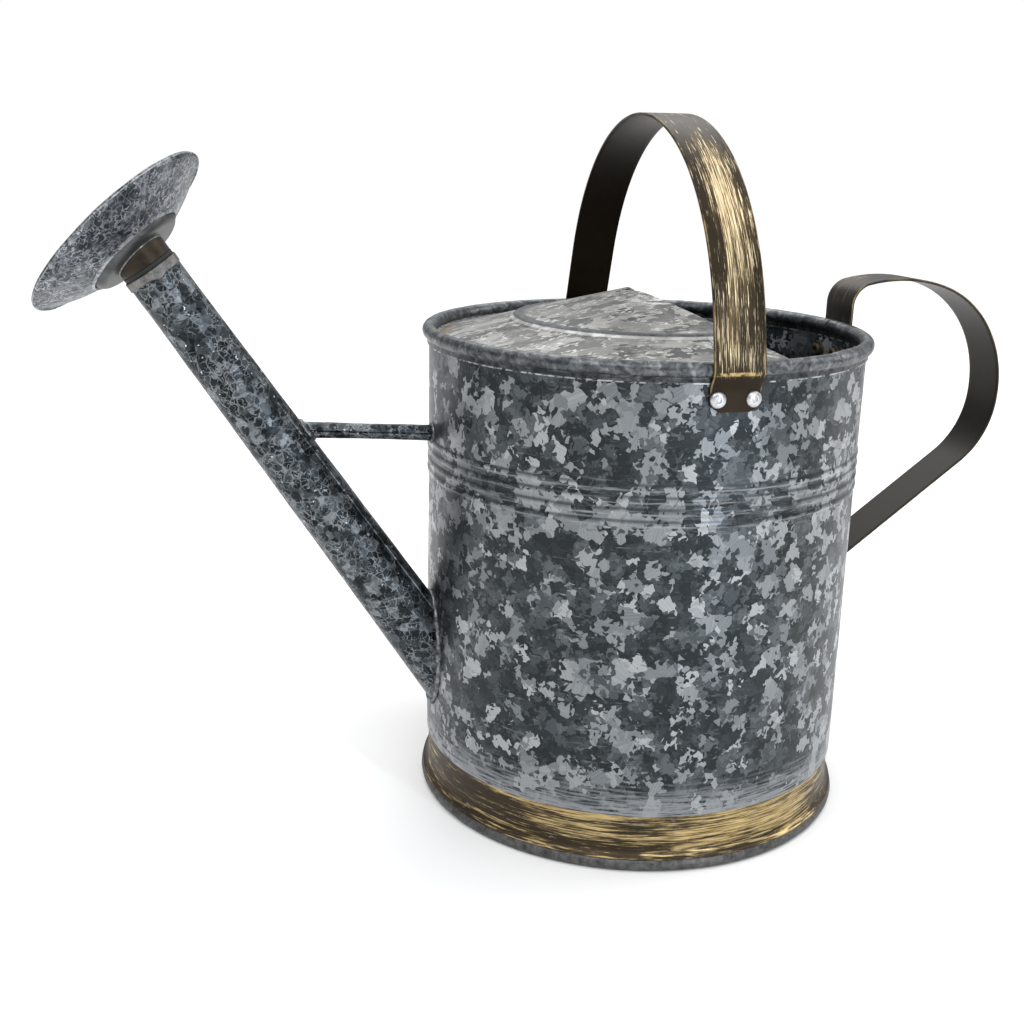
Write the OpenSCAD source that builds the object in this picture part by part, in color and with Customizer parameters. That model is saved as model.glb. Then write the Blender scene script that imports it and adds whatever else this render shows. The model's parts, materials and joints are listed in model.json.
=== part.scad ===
// Galvanised watering can: rolled sheet body, half cover, braced spout with a
// push-fit rose, fixed bail over the top and a second handle at the back.
// Millimetres, +Z up, origin at the middle of the base on the floor.
// The spout points to -X and the bail stands in the Y-Z plane.

/* [Body] */
// Outer radius of the rolled sheet body
body_r = 95; // [70:1:130]
// Height of the wired rim's centre above the floor
rim_z = 210.3; // [170:0.1:260]
// Thickness of every sheet part
sheet = 0.8; // [0.5:0.1:1.2]
// Outer radius of the rolled rim bead
bead_r = 3; // [2:0.1:4.5]
// Height of the body sheet's lower edge
body_z0 = 24.7; // [18:0.1:34]
// Distance from the rim's centre down to the middle of the pressed swage lines
swage_drop = 53.3; // [35:0.1:80]
// Number of pressed swage lines
swage_n = 4; // [2:1:6]
// Distance between two swage lines
swage_pitch = 4.8; // [3:0.1:7]
// Radius of one swage line
swage_r = 1.1; // [0.8:0.1:1.8]
// Direction of the body's lap seam, degrees from +X
seam_az = 5.4; // [0:0.1:12]
// Width of the lap seam
seam_w = 9; // [5:0.5:14]

/* [Foot] */
// Outer radius of the rolled foot
foot_r = 3.1; // [2:0.1:4.5]
// How far the foot band runs up inside the body
band_lap = 8; // [4:0.5:14]
// How far the band's lip stands out over the rolled foot
lip_out = 2.6; // [1:0.1:3]

/* [Cover] */
// Rise of the cone-shaped cover per millimetre of radius
cover_slope = 0.265; // [0.1:0.005:0.4]
// Distance from the body axis to the point of the filling opening
cover_tip = 11.5; // [4:0.5:25]
// Half angle of the filling opening
cover_half = 58.5; // [40:0.5:75]
// Radius of the pressed ring on the cover, measured from the axis
cover_ring = 57; // [35:1:65]
// Outer radius of the pressed ring's own section
cover_ring_r = 2; // [1.6:0.1:2.6]
// Depth of the cover's edge that is turned down inside the rim
cover_edge = 3; // [2:0.5:4]

/* [Spout] */
// Height at which the spout's axis leaves the body
spout_z = 69.1; // [50:0.1:90]
// Slope of the spout above the horizontal, degrees
spout_tilt = 56; // [45:0.2:65]
// Length along the axis from the body to the mouth
spout_len = 204.4; // [160:0.2:230]
// Outer radius of the spout at the body
spout_r0 = 14.3; // [12:0.1:20]
// Bore radius of the straight socket at the mouth
socket_r = 10.35; // [8:0.05:11.5]
// Length of the straight socket
socket_len = 17; // [12:0.5:24]
// Length of the collar on the mouth
mouth_len = 4; // [3:0.2:7]
// Thickness of the collar on the mouth
mouth_t = 0.5; // [0.4:0.1:1]
// Distance from the rim's centre down to where the brace leaves the body
brace_drop = 42.7; // [25:0.1:50]
// Rise of the brace towards the spout, degrees
brace_rise = 3.3; // [-5:0.5:10]
// Outer radius of the brace
brace_r = 3.5; // [2.5:0.1:4.5]
// Width of the solder around the joints
solder_w = 2; // [1:0.1:3]

/* [Straps] */
// Width of both handle straps
strap_w = 21; // [16:0.5:26]
// Thickness of both handle straps
strap_t = 1.2; // [1:0.1:2]
// How far the bail's plane stands behind the body axis
bail_x = 2.5; // [0:0.1:5]
// Height of the bail above the rim's centre
bail_rise = 92.4; // [70:1:120]
// Distance of the bail's highest point from the middle, along Y
bail_lean = -2; // [-8:0.5:8]
// Straight part of the bail's leg on the -Y side
leg_near = 14.4; // [5:0.2:30]
// Straight part of the bail's leg on the +Y side
leg_far = 30.6; // [5:0.2:45]
// Radii of the back handle's four bends, from the rim down
grip_radii = [10.5, 80, 53, 40];
// Directions of the strap between the bends, degrees above horizontal
grip_turns = [90, 12, -18, -95, -145];
// Straight part of the back handle's upper end above the rim's centre
grip_rise = 10; // [4:0.5:16]
// Radius of the bend where the back handle meets the body
grip_root_r = 6; // [4:0.5:9]
// Distance below the rim's centre of the bail's rivets
bail_rivet_drop = 11.3; // [10:0.1:18]
// Distance below the rim's centre of the back handle's upper rivets
grip_rivet_drop = 11.8; // [10:0.1:18]
// Distance from the back handle's lower bend down to its rivets
grip_rivet_low = 6.5; // [5:0.5:10]
// Strap left beyond the middle of a rivet
foot_margin = 4.8; // [4:0.1:7]

/* [Rivets] */
// Radius of the hollow rivet's shank
rivet_r = 2; // [1.6:0.1:2.4]
// Radius of the rivet's domed head
rivet_head_r = 3.25; // [2.6:0.05:4]
// Height of the rivet's domed head
rivet_head_h = 1.5; // [1:0.1:2]
// Distance between the two rivets of a pair
rivet_gap = 14.4; // [11:0.1:16]
// Outer radius of the backing washer inside the body
washer_r = 4; // [3.4:0.1:4.6]
// Radius of the broken-off pin inside the rivet
pin_r = 0.9; // [0.7:0.05:1]

/* [Rose] */
// Radius of the rose at its rim
rose_r = 43.6; // [32:0.2:52]
// Depth of the rose from its rim to its back
rose_depth = 12.5; // [12:0.5:24]
// Radius at which the cone meets the rounded back
rose_neck_r = 21; // [16:0.5:28]
// Radius of the rose's rolled rim
rose_bead = 1.3; // [1:0.1:2]
// Angle between the rose and its stem, degrees
rose_tilt = 17.5; // [0:0.5:20]
// Direction in which the rose is turned on the spout, degrees
rose_turn = -57; // [-180:1:180]
// Length of the stem inside the spout
stem_len = 14; // [10:0.5:16]
// Thickness of the rubber ring
ring_t = 1.4; // [1:0.1:2.5]
// Radius of the brass collar on the stem
collar_r = 11; // [10.4:0.1:12]
// Shortest length of the brass collar
collar_min = 0.4; // [0.3:0.1:5]
// How far the sprinkler face is domed
dome_h = 6; // [2:0.5:10]
// Radius of one water hole
hole_r = 0.8; // [0.6:0.05:1.2]
// Distance between rings of water holes
hole_pitch = 5.2; // [4.4:0.1:8]
// Number of rings of water holes
hole_rings = 7; // [3:1:7]

/* [Fits] */
// Radial play of the stem in the socket and in the rubber ring
fit = 0.05; // [0.02:0.01:0.1]
// Air gap each side of the rubber ring
air = 0.3; // [0.3:0.05:0.5]
// Play between pieces that are soldered, seated or riveted together
seat = 0.03; // [0.01:0.01:0.1]

/* [Hidden] */
$fn = 96;
far = 400;
inner_r = body_r - sheet;
swage_z = rim_z - swage_drop;
brace_z = rim_z - brace_drop;
wire_r = bead_r - sheet - seat;
hem_z = rim_z - bead_r - 2.4;
cover_r = inner_r - seat;
cover_z = rim_z - bead_r - 0.5;
apex_z = cover_z + cover_slope * cover_r;
mouth_r0 = socket_r + sheet;
spout_slope = (spout_r0 - mouth_r0) / (spout_len - socket_len);
ring_s = spout_len + air;
collar_s = ring_s + ring_t + air;
tilt_drop = collar_r * tan(rose_tilt);
back_s = collar_s + collar_min + tilt_drop;
neck_h = rose_depth * 0.3;
foot_r1 = body_r + seat + strap_t;
leg_y = body_r + bead_r + 0.1 + strap_t / 2;
foot_y = body_r + seat + strap_t / 2;
crease_z = rim_z - bead_r / 3;
slope_z = rim_z - bead_r - 4;
foot_end = [foot_y - 0.35, slope_z - 0.8];
bend_step = 3;
bail_h = bail_rise - strap_t / 2 + rim_z - crease_z;
rivet_half = asin(rivet_gap / 2 / body_r);
bail_az = asin(bail_x / body_r);
rivet_az_near = [-90 + bail_az - rivet_half, -90 + bail_az + rivet_half];
rivet_az_far = [90 - bail_az - rivet_half, 90 - bail_az + rivet_half];
grip_az = seam_az;
grip_p0 = [leg_y, rim_z + grip_rise];
grip_p1 = turned(grip_p0, grip_radii[0], grip_turns[0], grip_turns[1]);
grip_p2 = turned(grip_p1, grip_radii[1], grip_turns[1], grip_turns[2]);
grip_p3 = turned(grip_p2, grip_radii[2], grip_turns[2], grip_turns[3]);
grip_p4 = turned(grip_p3, grip_radii[3], grip_turns[3], grip_turns[4]);
grip_points = [grip_p0, grip_p1, grip_p2, grip_p3];
grip_root = foot_y + grip_root_r;
grip_foot_z = grip_p4[1] + grip_root_r * cos(grip_turns[4])
  + (foot_y + grip_root_r * (1 + sin(grip_turns[4])) - grip_p4[0]) * tan(grip_turns[4]);

// The end of a bend that starts at p, turning right from direction a to b.
function centre(p, r, a) = p + r * [sin(a), -cos(a)];
function turned(p, r, a, b) = centre(p, r, a) + r * [-sin(b), cos(b)];
function cover_at(r) = apex_z - cover_slope * r;
function ring_at() = [cover_ring, cover_at(cover_ring) - cover_ring_r / 2];

// ---- shared shapes ----

// Points of an arc around c from angle a to b, without its first point if skip is 1.
function arc(c, r, a, b, skip = 0, step = bend_step) = let(steps = ceil(abs(b - a) / step))
  [for (i = [skip : steps]) c + r * [cos(a + (b - a) * i / steps), sin(a + (b - a) * i / steps)]];
function unit(v) = v / norm(v);
function heading(line, i) = unit(line[i + 1] - line[i]);
function mitre(line, i) = let(before = heading(line, max(i - 1, 0)),
  after = heading(line, min(i, len(line) - 2)), middle = unit(before + after))
  [-middle[1], middle[0]] / (middle * before);

// A strap seen from its edge, with its middle along a line of points.
module strap_edge(line) {
  last = len(line) - 1;
  polygon(concat([for (i = [0 : last]) line[i] + strap_t / 2 * mitre(line, i)],
                 [for (i = [last : -1 : 0]) line[i] - strap_t / 2 * mitre(line, i)]));
}

// Lays a side profile (radius, height) upright and gives it the strap's width.
module strap_width() {
  rotate([90, 0, 0]) translate([0, 0, -strap_w / 2]) linear_extrude(strap_w) children();
}

module along_spout(s = 0) {
  translate([-body_r, 0, spout_z]) rotate([0, spout_tilt - 90, 0]) translate([0, 0, s])
    children();
}

module spout_cone(grow = 0, back = 30) {
  along_spout(-back) cylinder(h = back + spout_len - socket_len,
    r1 = spout_r0 + grow + back * spout_slope, r2 = mouth_r0 + grow);
}

module rose_frame() {
  along_spout(back_s) rotate(rose_turn) rotate([0, -rose_tilt, 0]) children();
}

module along_brace() {
  translate([-body_r + 6, 0, brace_z]) rotate([0, -90 + brace_rise, 0]) children();
}

module at_rivet(az, z) { rotate(az) translate([0, 0, z]) rotate([0, 90, 0]) children(); }

module each_bail_rivet() {
  for (az = rivet_az_near) at_rivet(az, rim_z - bail_rivet_drop) children();
  for (az = rivet_az_far) at_rivet(az, rim_z - bail_rivet_drop) children();
}

module each_grip_rivet() {
  for (side = [-1, 1], z = [rim_z - grip_rivet_drop, grip_foot_z - grip_rivet_low])
    at_rivet(grip_az + side * rivet_half, z) children();
}

module rivet_holes(grow = seat) {
  each_bail_rivet() translate([0, 0, inner_r - 6]) cylinder(h = 14, r = rivet_r + grow);
  each_grip_rivet() translate([0, 0, inner_r - 6]) cylinder(h = 14, r = rivet_r + grow);
}

// The strap's end lies on the round body, with rounded lower corners.
module strap_foot(z_low, z_high) {
  corner = 4;
  intersection() {
    difference() {
      cylinder(h = rim_z, r = foot_r1);
      translate([0, 0, -1]) cylinder(h = rim_z + 2, r = body_r + seat);
    }
    rotate([90, 0, 90]) linear_extrude(far) union() {
      translate([-strap_w / 2, z_low + corner]) square([strap_w, z_high - z_low - corner]);
      translate([-strap_w / 2 + corner, z_low]) square([strap_w - 2 * corner, corner + 0.1]);
      for (side = [-1, 1]) translate([side * (strap_w / 2 - corner), z_low + corner])
        circle(corner);
    }
  }
}

// Cuts away what would run into the body and its rim bead.
module clear_of_body() {
  difference() {
    children();
    cylinder(h = rim_z - bead_r, r = body_r + seat + 0.15);
    rotate_extrude() translate([body_r, rim_z]) circle(bead_r + seat);
  }
}

// A blind rivet's washer, body and pin, drawn along +Z from the body's axis.
module rivet_body() {
  difference() {
    union() {
      translate([0, 0, foot_r1 + 2 * seat]) intersection() {
        cylinder(h = rivet_head_h, r = rivet_head_r);
        translate([0, 0, rivet_head_h - dome_sphere()]) sphere(dome_sphere());
      }
      translate([0, 0, inner_r - 4]) cylinder(h = strap_t + sheet + 4.2, r = rivet_r);
      translate([0, 0, washer_seat() - sheet - 2.1]) cylinder(h = 2, r1 = 2.4, r2 = 3);
    }
    cylinder(h = far, r = pin_r + seat);
    translate([0, 0, inner_r - 5]) cylinder(h = 2.1, r = 1.4 + seat);
  }
}

function dome_sphere() = (rivet_head_r * rivet_head_r + rivet_head_h * rivet_head_h)
  / (2 * rivet_head_h);
function washer_seat() = inner_r * cos(asin(washer_r / inner_r)) - seat;

module rivet_washer() {
  translate([0, 0, washer_seat() - sheet]) difference() {
    cylinder(h = sheet, r = washer_r);
    translate([0, 0, -1]) cylinder(h = sheet + 2, r = rivet_r + seat);
  }
}

module rivet_pin() {
  translate([0, 0, inner_r - 4.2]) cylinder(h = 1.2, r = 1.4);
  translate([0, 0, inner_r - 4]) cylinder(h = foot_r1 + 0.5 - inner_r + 4, r = pin_r);
}

// ---- body ----

module body_shell() {
  color("Silver") difference() {
    union() {
      rotate_extrude() difference() {
        union() {
          translate([inner_r, body_z0]) square([sheet, rim_z - bead_r + 0.3 - body_z0]);
          translate([body_r - 0.1, hem_z]) square([0.4, rim_z - bead_r + 0.3 - hem_z]);
          translate([body_r, rim_z]) circle(bead_r);
          swages();
        }
        translate([body_r, rim_z]) circle(bead_r - sheet);
        swages(sheet * 0.7, -0.15);
      }
      intersection() {
        difference() {
          cylinder(h = hem_z, r = body_r + sheet / 2);
          translate([0, 0, -1]) cylinder(h = far, r = body_r - 0.1);
          translate([-far, -far, -1]) cube([2 * far, 2 * far, grip_clear_z() + 1]);
        }
        rotate(seam_az) translate([0, -seam_w / 2, 0])
          cube([far, seam_w, grip_clear_top()]);
      }
    }
    spout_hole();
    rivet_holes();
  }
}

// The lap seam shows between the back handle's two feet.
function grip_clear_z() = grip_foot_z + grip_root_r + 3;
function grip_clear_top() = rim_z - grip_rivet_drop - foot_margin - 1;

module swages(shift = 0, grow = 0) {
  for (i = [0 : swage_n - 1])
    translate([body_r - swage_r * 0.55 - shift, swage_z + (i - (swage_n - 1) / 2) * swage_pitch])
      circle(swage_r + grow, $fn = 32);
}

// The body's outside with its swage lines, as a solid that other pieces are cut to.
module body_outside() {
  cylinder(h = far, r = body_r + seat);
  rotate_extrude() swages(grow = 2 * seat);
}

module spout_hole() {
  along_spout(-30) cylinder(h = 50, r1 = spout_r0 - sheet + 30 * spout_slope,
    r2 = spout_r0 - sheet - 20 * spout_slope);
}

module rim_wire() {
  color("DimGray") difference() {
    rotate_extrude() translate([body_r, rim_z]) circle(wire_r);
    rotate(seam_az) translate([0, -1, rim_z - 5]) cube([far, 2, 10]);
  }
}

module bottom_plate() {
  color("Gray") rotate_extrude() difference() {
    union() {
      square([body_r - foot_r + 2.5, sheet]);
      translate([body_r - 0.6, foot_r]) circle(foot_r);
    }
    translate([body_r - 0.6, foot_r]) circle(foot_r - sheet);
    translate([inner_r - sheet - 2 * seat, foot_r]) square([sheet + 2 * seat, far]);
  }
}

module base_band() {
  x0 = inner_r - sheet - seat;
  x1 = inner_r - seat;
  color("DarkGoldenrod") rotate_extrude() difference() {
    polygon([[x0, foot_r + 0.2], [x0, body_z0 + band_lap], [x1, body_z0 + band_lap],
      [x1, 2 * foot_r + 3.2], [inner_r + lip_out, 2 * foot_r - 0.1],
      [inner_r + lip_out - 0.4, 2 * foot_r - 0.9], [x1, 2 * foot_r - 2], [x1, foot_r + 0.2]]);
    difference() {
      translate([body_r - 0.6, foot_r]) circle(foot_r + seat);
      square([x1, far]);
    }
  }
}

// ---- cover ----

module cover_opening(grow = 0) {
  translate([-cover_tip - grow, 0, rim_z - 30]) linear_extrude(80)
    polygon([[0, 0], far * [cos(cover_half), sin(cover_half)], [far, 0],
             far * [cos(cover_half), -sin(cover_half)]]);
}

// The cover's section, with its pressed ring as two arcs around one centre.
module cover_section() {
  c = ring_at();
  facing = 90 - atan(cover_slope);
  outer_half = acos(cover_ring_r / 2 * sin(facing) / cover_ring_r);
  inner_half = acos((cover_ring_r / 2 - sheet) * sin(facing) / (cover_ring_r - sheet));
  polygon(concat([[0, apex_z]],
    arc(c, cover_ring_r, facing + outer_half, facing - outer_half, step = 12),
    [[cover_r, cover_z], [cover_r, cover_z - cover_edge],
     [cover_r - sheet, cover_z - cover_edge],
     [cover_r - sheet, cover_at(cover_r - sheet) - sheet]],
    arc(c, cover_ring_r - sheet, facing - inner_half, facing + inner_half, step = 12),
    [[0, apex_z - sheet]]));
}

module splash_cover() {
  color("LightGray") difference() {
    rotate_extrude() cover_section();
    cover_opening();
  }
}

module cover_solder() {
  color("Gainsboro") difference() {
    rotate_extrude() difference() {
      polygon([[cover_r - 3.2, cover_at(cover_r - 3.2) + seat], [inner_r - seat, cover_z + seat],
        [inner_r - seat, rim_z - bead_r + 0.6], [body_r - 2.4, rim_z - bead_r + 1.2]]);
      translate([body_r, rim_z]) circle(bead_r + seat);
    }
    cover_opening(-4);
  }
}

// ---- spout ----

module spout_tube() {
  color("Silver") difference() {
    union() {
      spout_cone();
      along_spout(spout_len - socket_len) cylinder(h = socket_len - sheet, r = mouth_r0);
    }
    spout_cone(-sheet, 31);
    along_spout(spout_len - socket_len - 0.01) cylinder(h = socket_len + 1, r = socket_r);
    cylinder(h = far, r = body_r + seat);
  }
}

module mouth_collar() {
  color("DarkGray") along_spout(spout_len - mouth_len) difference() {
    cylinder(h = mouth_len, r = mouth_r0 + mouth_t);
    translate([0, 0, -1]) cylinder(h = mouth_len - sheet + 1 + seat, r = mouth_r0 + seat);
    cylinder(h = mouth_len + 1, r = socket_r);
  }
}

module spout_solder() {
  color("Gainsboro") difference() {
    intersection() {
      spout_cone(solder_w);
      cylinder(h = far, r = body_r + solder_w * 0.7);
      translate([-far, -far, 0]) cube([far, 2 * far, far]);
    }
    spout_cone(seat, 29);
    cylinder(h = far, r = body_r + seat);
  }
}

module brace_tube() {
  color("Silver") difference() {
    along_brace() cylinder(h = 80, r = brace_r);
    along_brace() translate([0, 0, -1]) cylinder(h = 82, r = brace_r - sheet);
    along_brace() translate([0, -brace_r, 0]) rotate(45) translate([-0.35, -0.35, -1])
      cube([0.7, 0.7, 82]);
    body_outside();
    spout_cone(seat);
    beyond_spout();
  }
}

// Everything on the far side of the spout from the body.
module beyond_spout() {
  along_spout(-10) translate([-far, -far / 2, 0]) cube([far, far, far]);
}

module brace_solder() {
  color("Gainsboro") difference() {
    along_brace() cylinder(h = 80, r = brace_r + solder_w * 0.8);
    along_brace() translate([0, 0, -1]) cylinder(h = 82, r = brace_r + seat);
    body_outside();
    spout_cone(seat);
    beyond_spout();
    difference() {
      cube([4 * far, far, 2 * far], center = true);
      cylinder(h = far, r = body_r + solder_w);
      spout_cone(solder_w);
    }
  }
}

// ---- handles ----

// Half of the bail's middle line, from its highest point down to the body wall.
function bail_half(leg, reach) = let(lean = 2 * (atan((leg + reach) / bail_h) - 45),
  r = (reach - leg * sin(lean)) / cos(lean), top = crease_z + bail_h)
  concat(arc([leg_y - reach, top - r], r, 90, lean), [[leg_y, crease_z], [foot_y, slope_z]],
    [foot_end]);

function flipped(line) = [for (i = [len(line) - 1 : -1 : 1]) [-line[i][0], line[i][1]]];

module bail_strap() {
  z_low = rim_z - bail_rivet_drop - foot_margin;
  color("Sienna") difference() {
    union() {
      clear_of_body() translate([bail_x, 0, 0]) rotate(90) strap_width()
        strap_edge(concat(flipped(bail_half(leg_near, leg_y + bail_lean)),
          bail_half(leg_far, leg_y - bail_lean)));
      rotate(bail_az - 90) strap_foot(z_low, slope_z + 0.4);
      rotate(90 - bail_az) strap_foot(z_low, slope_z + 0.4);
    }
    rivet_holes();
  }
}

// The back handle's middle line, from the rim over the hand's gap down to the body.
function grip_line() = concat([foot_end, [foot_y, slope_z], [leg_y, crease_z], grip_p0],
  [for (i = [0 : 3]) each arc(centre(grip_points[i], grip_radii[i], grip_turns[i]),
    grip_radii[i], grip_turns[i] + 90, grip_turns[i + 1] + 90, skip = 1)],
  arc([grip_root, grip_foot_z], grip_root_r, 270 + grip_turns[4], 180),
  [[foot_y - 0.2, grip_foot_z - 0.6]]);

module grip_strap() {
  top_low = rim_z - grip_rivet_drop - foot_margin;
  color("SaddleBrown") difference() {
    union() {
      clear_of_body() rotate(grip_az) strap_width() strap_edge(grip_line());
      rotate(grip_az) strap_foot(top_low, slope_z + 0.4);
      rotate(grip_az) strap_foot(grip_foot_z - grip_rivet_low - foot_margin, grip_foot_z + 0.6);
    }
    rivet_holes();
  }
}

module bail_rivets() { color("Gainsboro") each_bail_rivet() rivet_body(); }
module bail_washers() { color("Peru") each_bail_rivet() rivet_washer(); }
module bail_rivet_pins() { color("DimGray") each_bail_rivet() rivet_pin(); }
module grip_rivets() { color("Gainsboro") each_grip_rivet() rivet_body(); }
module grip_washers() { color("Peru") each_grip_rivet() rivet_washer(); }
module grip_rivet_pins() { color("DimGray") each_grip_rivet() rivet_pin(); }

// ---- rose ----

module rose_stem() {
  color("Peru") difference() {
    union() {
      along_spout(spout_len - stem_len) cylinder(h = back_s + 4 - spout_len + stem_len,
        r = socket_r - fit);
      difference() {
        along_spout(collar_s) cylinder(h = 20, r = collar_r);
        rose_frame() translate([0, 0, -seat]) cylinder(h = 40, r = 60);
      }
    }
    along_spout(0) cylinder(h = far, r = socket_r - fit - sheet);
    rose_frame() translate([0, 0, sheet + 2.2]) cylinder(h = 40, r = 60);
  }
}

module rose_ring() {
  color("Black") along_spout(ring_s) difference() {
    cylinder(h = ring_t, r = mouth_r0 - 0.05);
    translate([0, 0, -1]) cylinder(h = ring_t + 2, r = socket_r);
  }
}

module stem_bore() {
  along_spout(spout_len) cylinder(h = 30, r = socket_r - fit + seat);
}

module rose_neck() {
  color("Gray") difference() {
    rose_frame() rotate_extrude() difference() {
      union() {
        square([rose_neck_r - neck_h, sheet]);
        intersection() {
          translate([rose_neck_r - neck_h, neck_h]) circle(neck_h);
          translate([rose_neck_r - neck_h - 0.01, 0]) square([far, neck_h]);
        }
      }
      translate([rose_neck_r - neck_h, neck_h]) circle(neck_h - sheet);
      translate([0, sheet]) square([rose_neck_r - neck_h + 0.01, far]);
    }
    stem_bore();
  }
}

module rose_shell() {
  rim = rose_r - rose_bead;
  color("Silver") rose_frame() rotate_extrude() difference() {
    union() {
      polygon([[rose_neck_r + seat, neck_h - 1.2], [rose_neck_r + seat + sheet, neck_h - 1.2],
        [rose_neck_r + seat + sheet, neck_h - 0.4], [rim, rose_depth - 0.6],
        [rim, rose_depth + 0.6], [rose_neck_r + seat, neck_h + 0.6]]);
      translate([rim, rose_depth]) circle(rose_bead);
    }
    translate([rim, rose_depth]) circle(rose_bead - 0.55);
  }
}

module rose_face() {
  edge = rose_r - 2 * rose_bead - 0.7;
  sphere_r = (edge * edge + dome_h * dome_h) / (2 * dome_h);
  rise = rose_depth + 0.4;
  color("DarkGray") rose_frame() difference() {
    translate([0, 0, rise]) intersection() {
      translate([0, 0, dome_h - sphere_r]) difference() {
        sphere(sphere_r, $fn = 180);
        sphere(sphere_r - sheet, $fn = 180);
      }
      cylinder(h = dome_h + 1, r = edge);
    }
    for (i = [1 : hole_rings], k = [0 : 6 * i - 1])
      rotate(k * 60 / i + 7 * i) translate([i * hole_pitch, 0, rise - 1])
        cylinder(h = dome_h + 3, r = hole_r, $fn = 24);
    translate([0, 0, rise - 1]) cylinder(h = dome_h + 3, r = hole_r, $fn = 24);
  }
}

module rose_solder() {
  color("Gainsboro") difference() {
    rose_frame() translate([0, 0, -solder_w * 0.6]) cylinder(h = solder_w * 0.6 - seat,
      r1 = collar_r + 0.8, r2 = collar_r + solder_w);
    along_spout(spout_len) cylinder(h = 40, r = collar_r + seat);
    along_spout(0) cylinder(h = collar_s + 0.3, r = 40);
  }
}

body_shell();
rim_wire();
splash_cover();
cover_solder();
bottom_plate();
base_band();
spout_tube();
mouth_collar();
spout_solder();
brace_tube();
brace_solder();
bail_strap();
bail_rivets();
bail_washers();
bail_rivet_pins();
grip_strap();
grip_rivets();
grip_washers();
grip_rivet_pins();
rose_stem();
rose_ring();
rose_neck();
rose_shell();
rose_face();
rose_solder();
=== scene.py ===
import json
from math import (asin, atan, atan2, ceil, copysign, cos, degrees, exp, hypot, pi, radians, sin,
                  sqrt, tan)
import bmesh
import bpy
from mathutils import Matrix, Vector, noise


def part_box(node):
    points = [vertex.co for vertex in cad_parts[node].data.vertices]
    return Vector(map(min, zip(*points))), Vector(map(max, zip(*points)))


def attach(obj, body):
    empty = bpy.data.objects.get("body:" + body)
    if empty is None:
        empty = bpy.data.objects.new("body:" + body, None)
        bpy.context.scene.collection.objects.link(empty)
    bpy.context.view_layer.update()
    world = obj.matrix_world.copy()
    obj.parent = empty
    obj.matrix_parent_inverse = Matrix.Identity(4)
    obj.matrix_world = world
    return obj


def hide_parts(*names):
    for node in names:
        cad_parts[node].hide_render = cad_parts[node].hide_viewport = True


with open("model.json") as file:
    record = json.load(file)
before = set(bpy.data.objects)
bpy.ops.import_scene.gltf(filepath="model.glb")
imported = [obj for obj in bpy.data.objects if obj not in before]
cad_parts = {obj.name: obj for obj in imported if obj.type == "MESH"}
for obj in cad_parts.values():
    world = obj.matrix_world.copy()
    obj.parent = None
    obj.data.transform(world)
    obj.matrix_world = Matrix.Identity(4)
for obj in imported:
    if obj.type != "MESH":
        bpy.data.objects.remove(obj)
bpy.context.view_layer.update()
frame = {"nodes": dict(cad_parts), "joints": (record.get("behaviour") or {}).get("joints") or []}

mm = 0.001
nodes = frame["nodes"]
joints = {joint["name"]: joint for joint in frame["joints"]}
scene = bpy.context.scene

# Driving places, read from the frame
wireLow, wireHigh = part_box("rim_wire")
shellLow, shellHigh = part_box("body_shell")
gripLow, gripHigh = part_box("grip_strap")
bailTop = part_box("bail_strap")[1].z
wireR = (wireHigh.z - wireLow.z) / 2
rimZ = (wireHigh.z + wireLow.z) / 2
bodyR = wireHigh.y - wireR
bodyZ0 = shellLow.z
beadR = shellHigh.z - rimZ
spoutAxis = Vector(joints["rose_twist"]["axis"]).normalized()
mouth = Vector(joints["rose_twist"]["pos_m"])
spoutTilt = atan2(spoutAxis.z, -spoutAxis.x)
spoutLen = (mouth.x + bodyR) / spoutAxis.x
sheet = 0.8 * mm
play = 0.03 * mm  # gap between pieces that seat on each other
innerR = bodyR - sheet
seamTurn = 5.4  # degrees from +X to the lap seam and the back handle
creaseZ = rimZ - beadR / 3

view = dict(place=(-0.19938, -0.54779, 0.29465), heading=75.59, pitch=-16.19, roll=1.335,
            lens=46.33)


def makeCamera():
    heading, pitch, roll = (radians(view[k]) for k in ("heading", "pitch", "roll"))
    ahead = Vector((cos(heading) * cos(pitch), sin(heading) * cos(pitch),
                    sin(pitch)))
    level = Vector((sin(heading), -cos(heading), 0))
    top = level.cross(ahead)
    right = level * cos(roll) + top * sin(roll)
    top = top * cos(roll) - level * sin(roll)
    camera = bpy.data.objects.new("camera", bpy.data.cameras.new("camera"))
    camera.data.lens = view["lens"]
    camera.data.clip_start = 0.01
    turned = Matrix((right, top, -ahead)).transposed().to_4x4()
    camera.matrix_world = Matrix.Translation(view["place"]) @ turned
    scene.collection.objects.link(camera)
    scene.camera = camera


makeCamera()
print("camera placed")


# A shader socket: sums, differences and products of them add their Math nodes
class Value:
    def __init__(self, finish, socket):
        self.finish, self.socket = finish, socket

    def __add__(self, other):
        return self.finish.maths("ADD", self, other)

    def __sub__(self, other):
        return self.finish.maths("SUBTRACT", self, other)

    def __mul__(self, other):
        return self.finish.maths("MULTIPLY", self, other)

    def __rsub__(self, other):
        return self.finish.maths("SUBTRACT", other, self)

    def __gt__(self, other):
        return self.finish.maths("GREATER_THAN", self, other)

    def __abs__(self):
        return self.finish.maths("ABSOLUTE", self)

    __radd__ = __add__
    __rmul__ = __mul__


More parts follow.
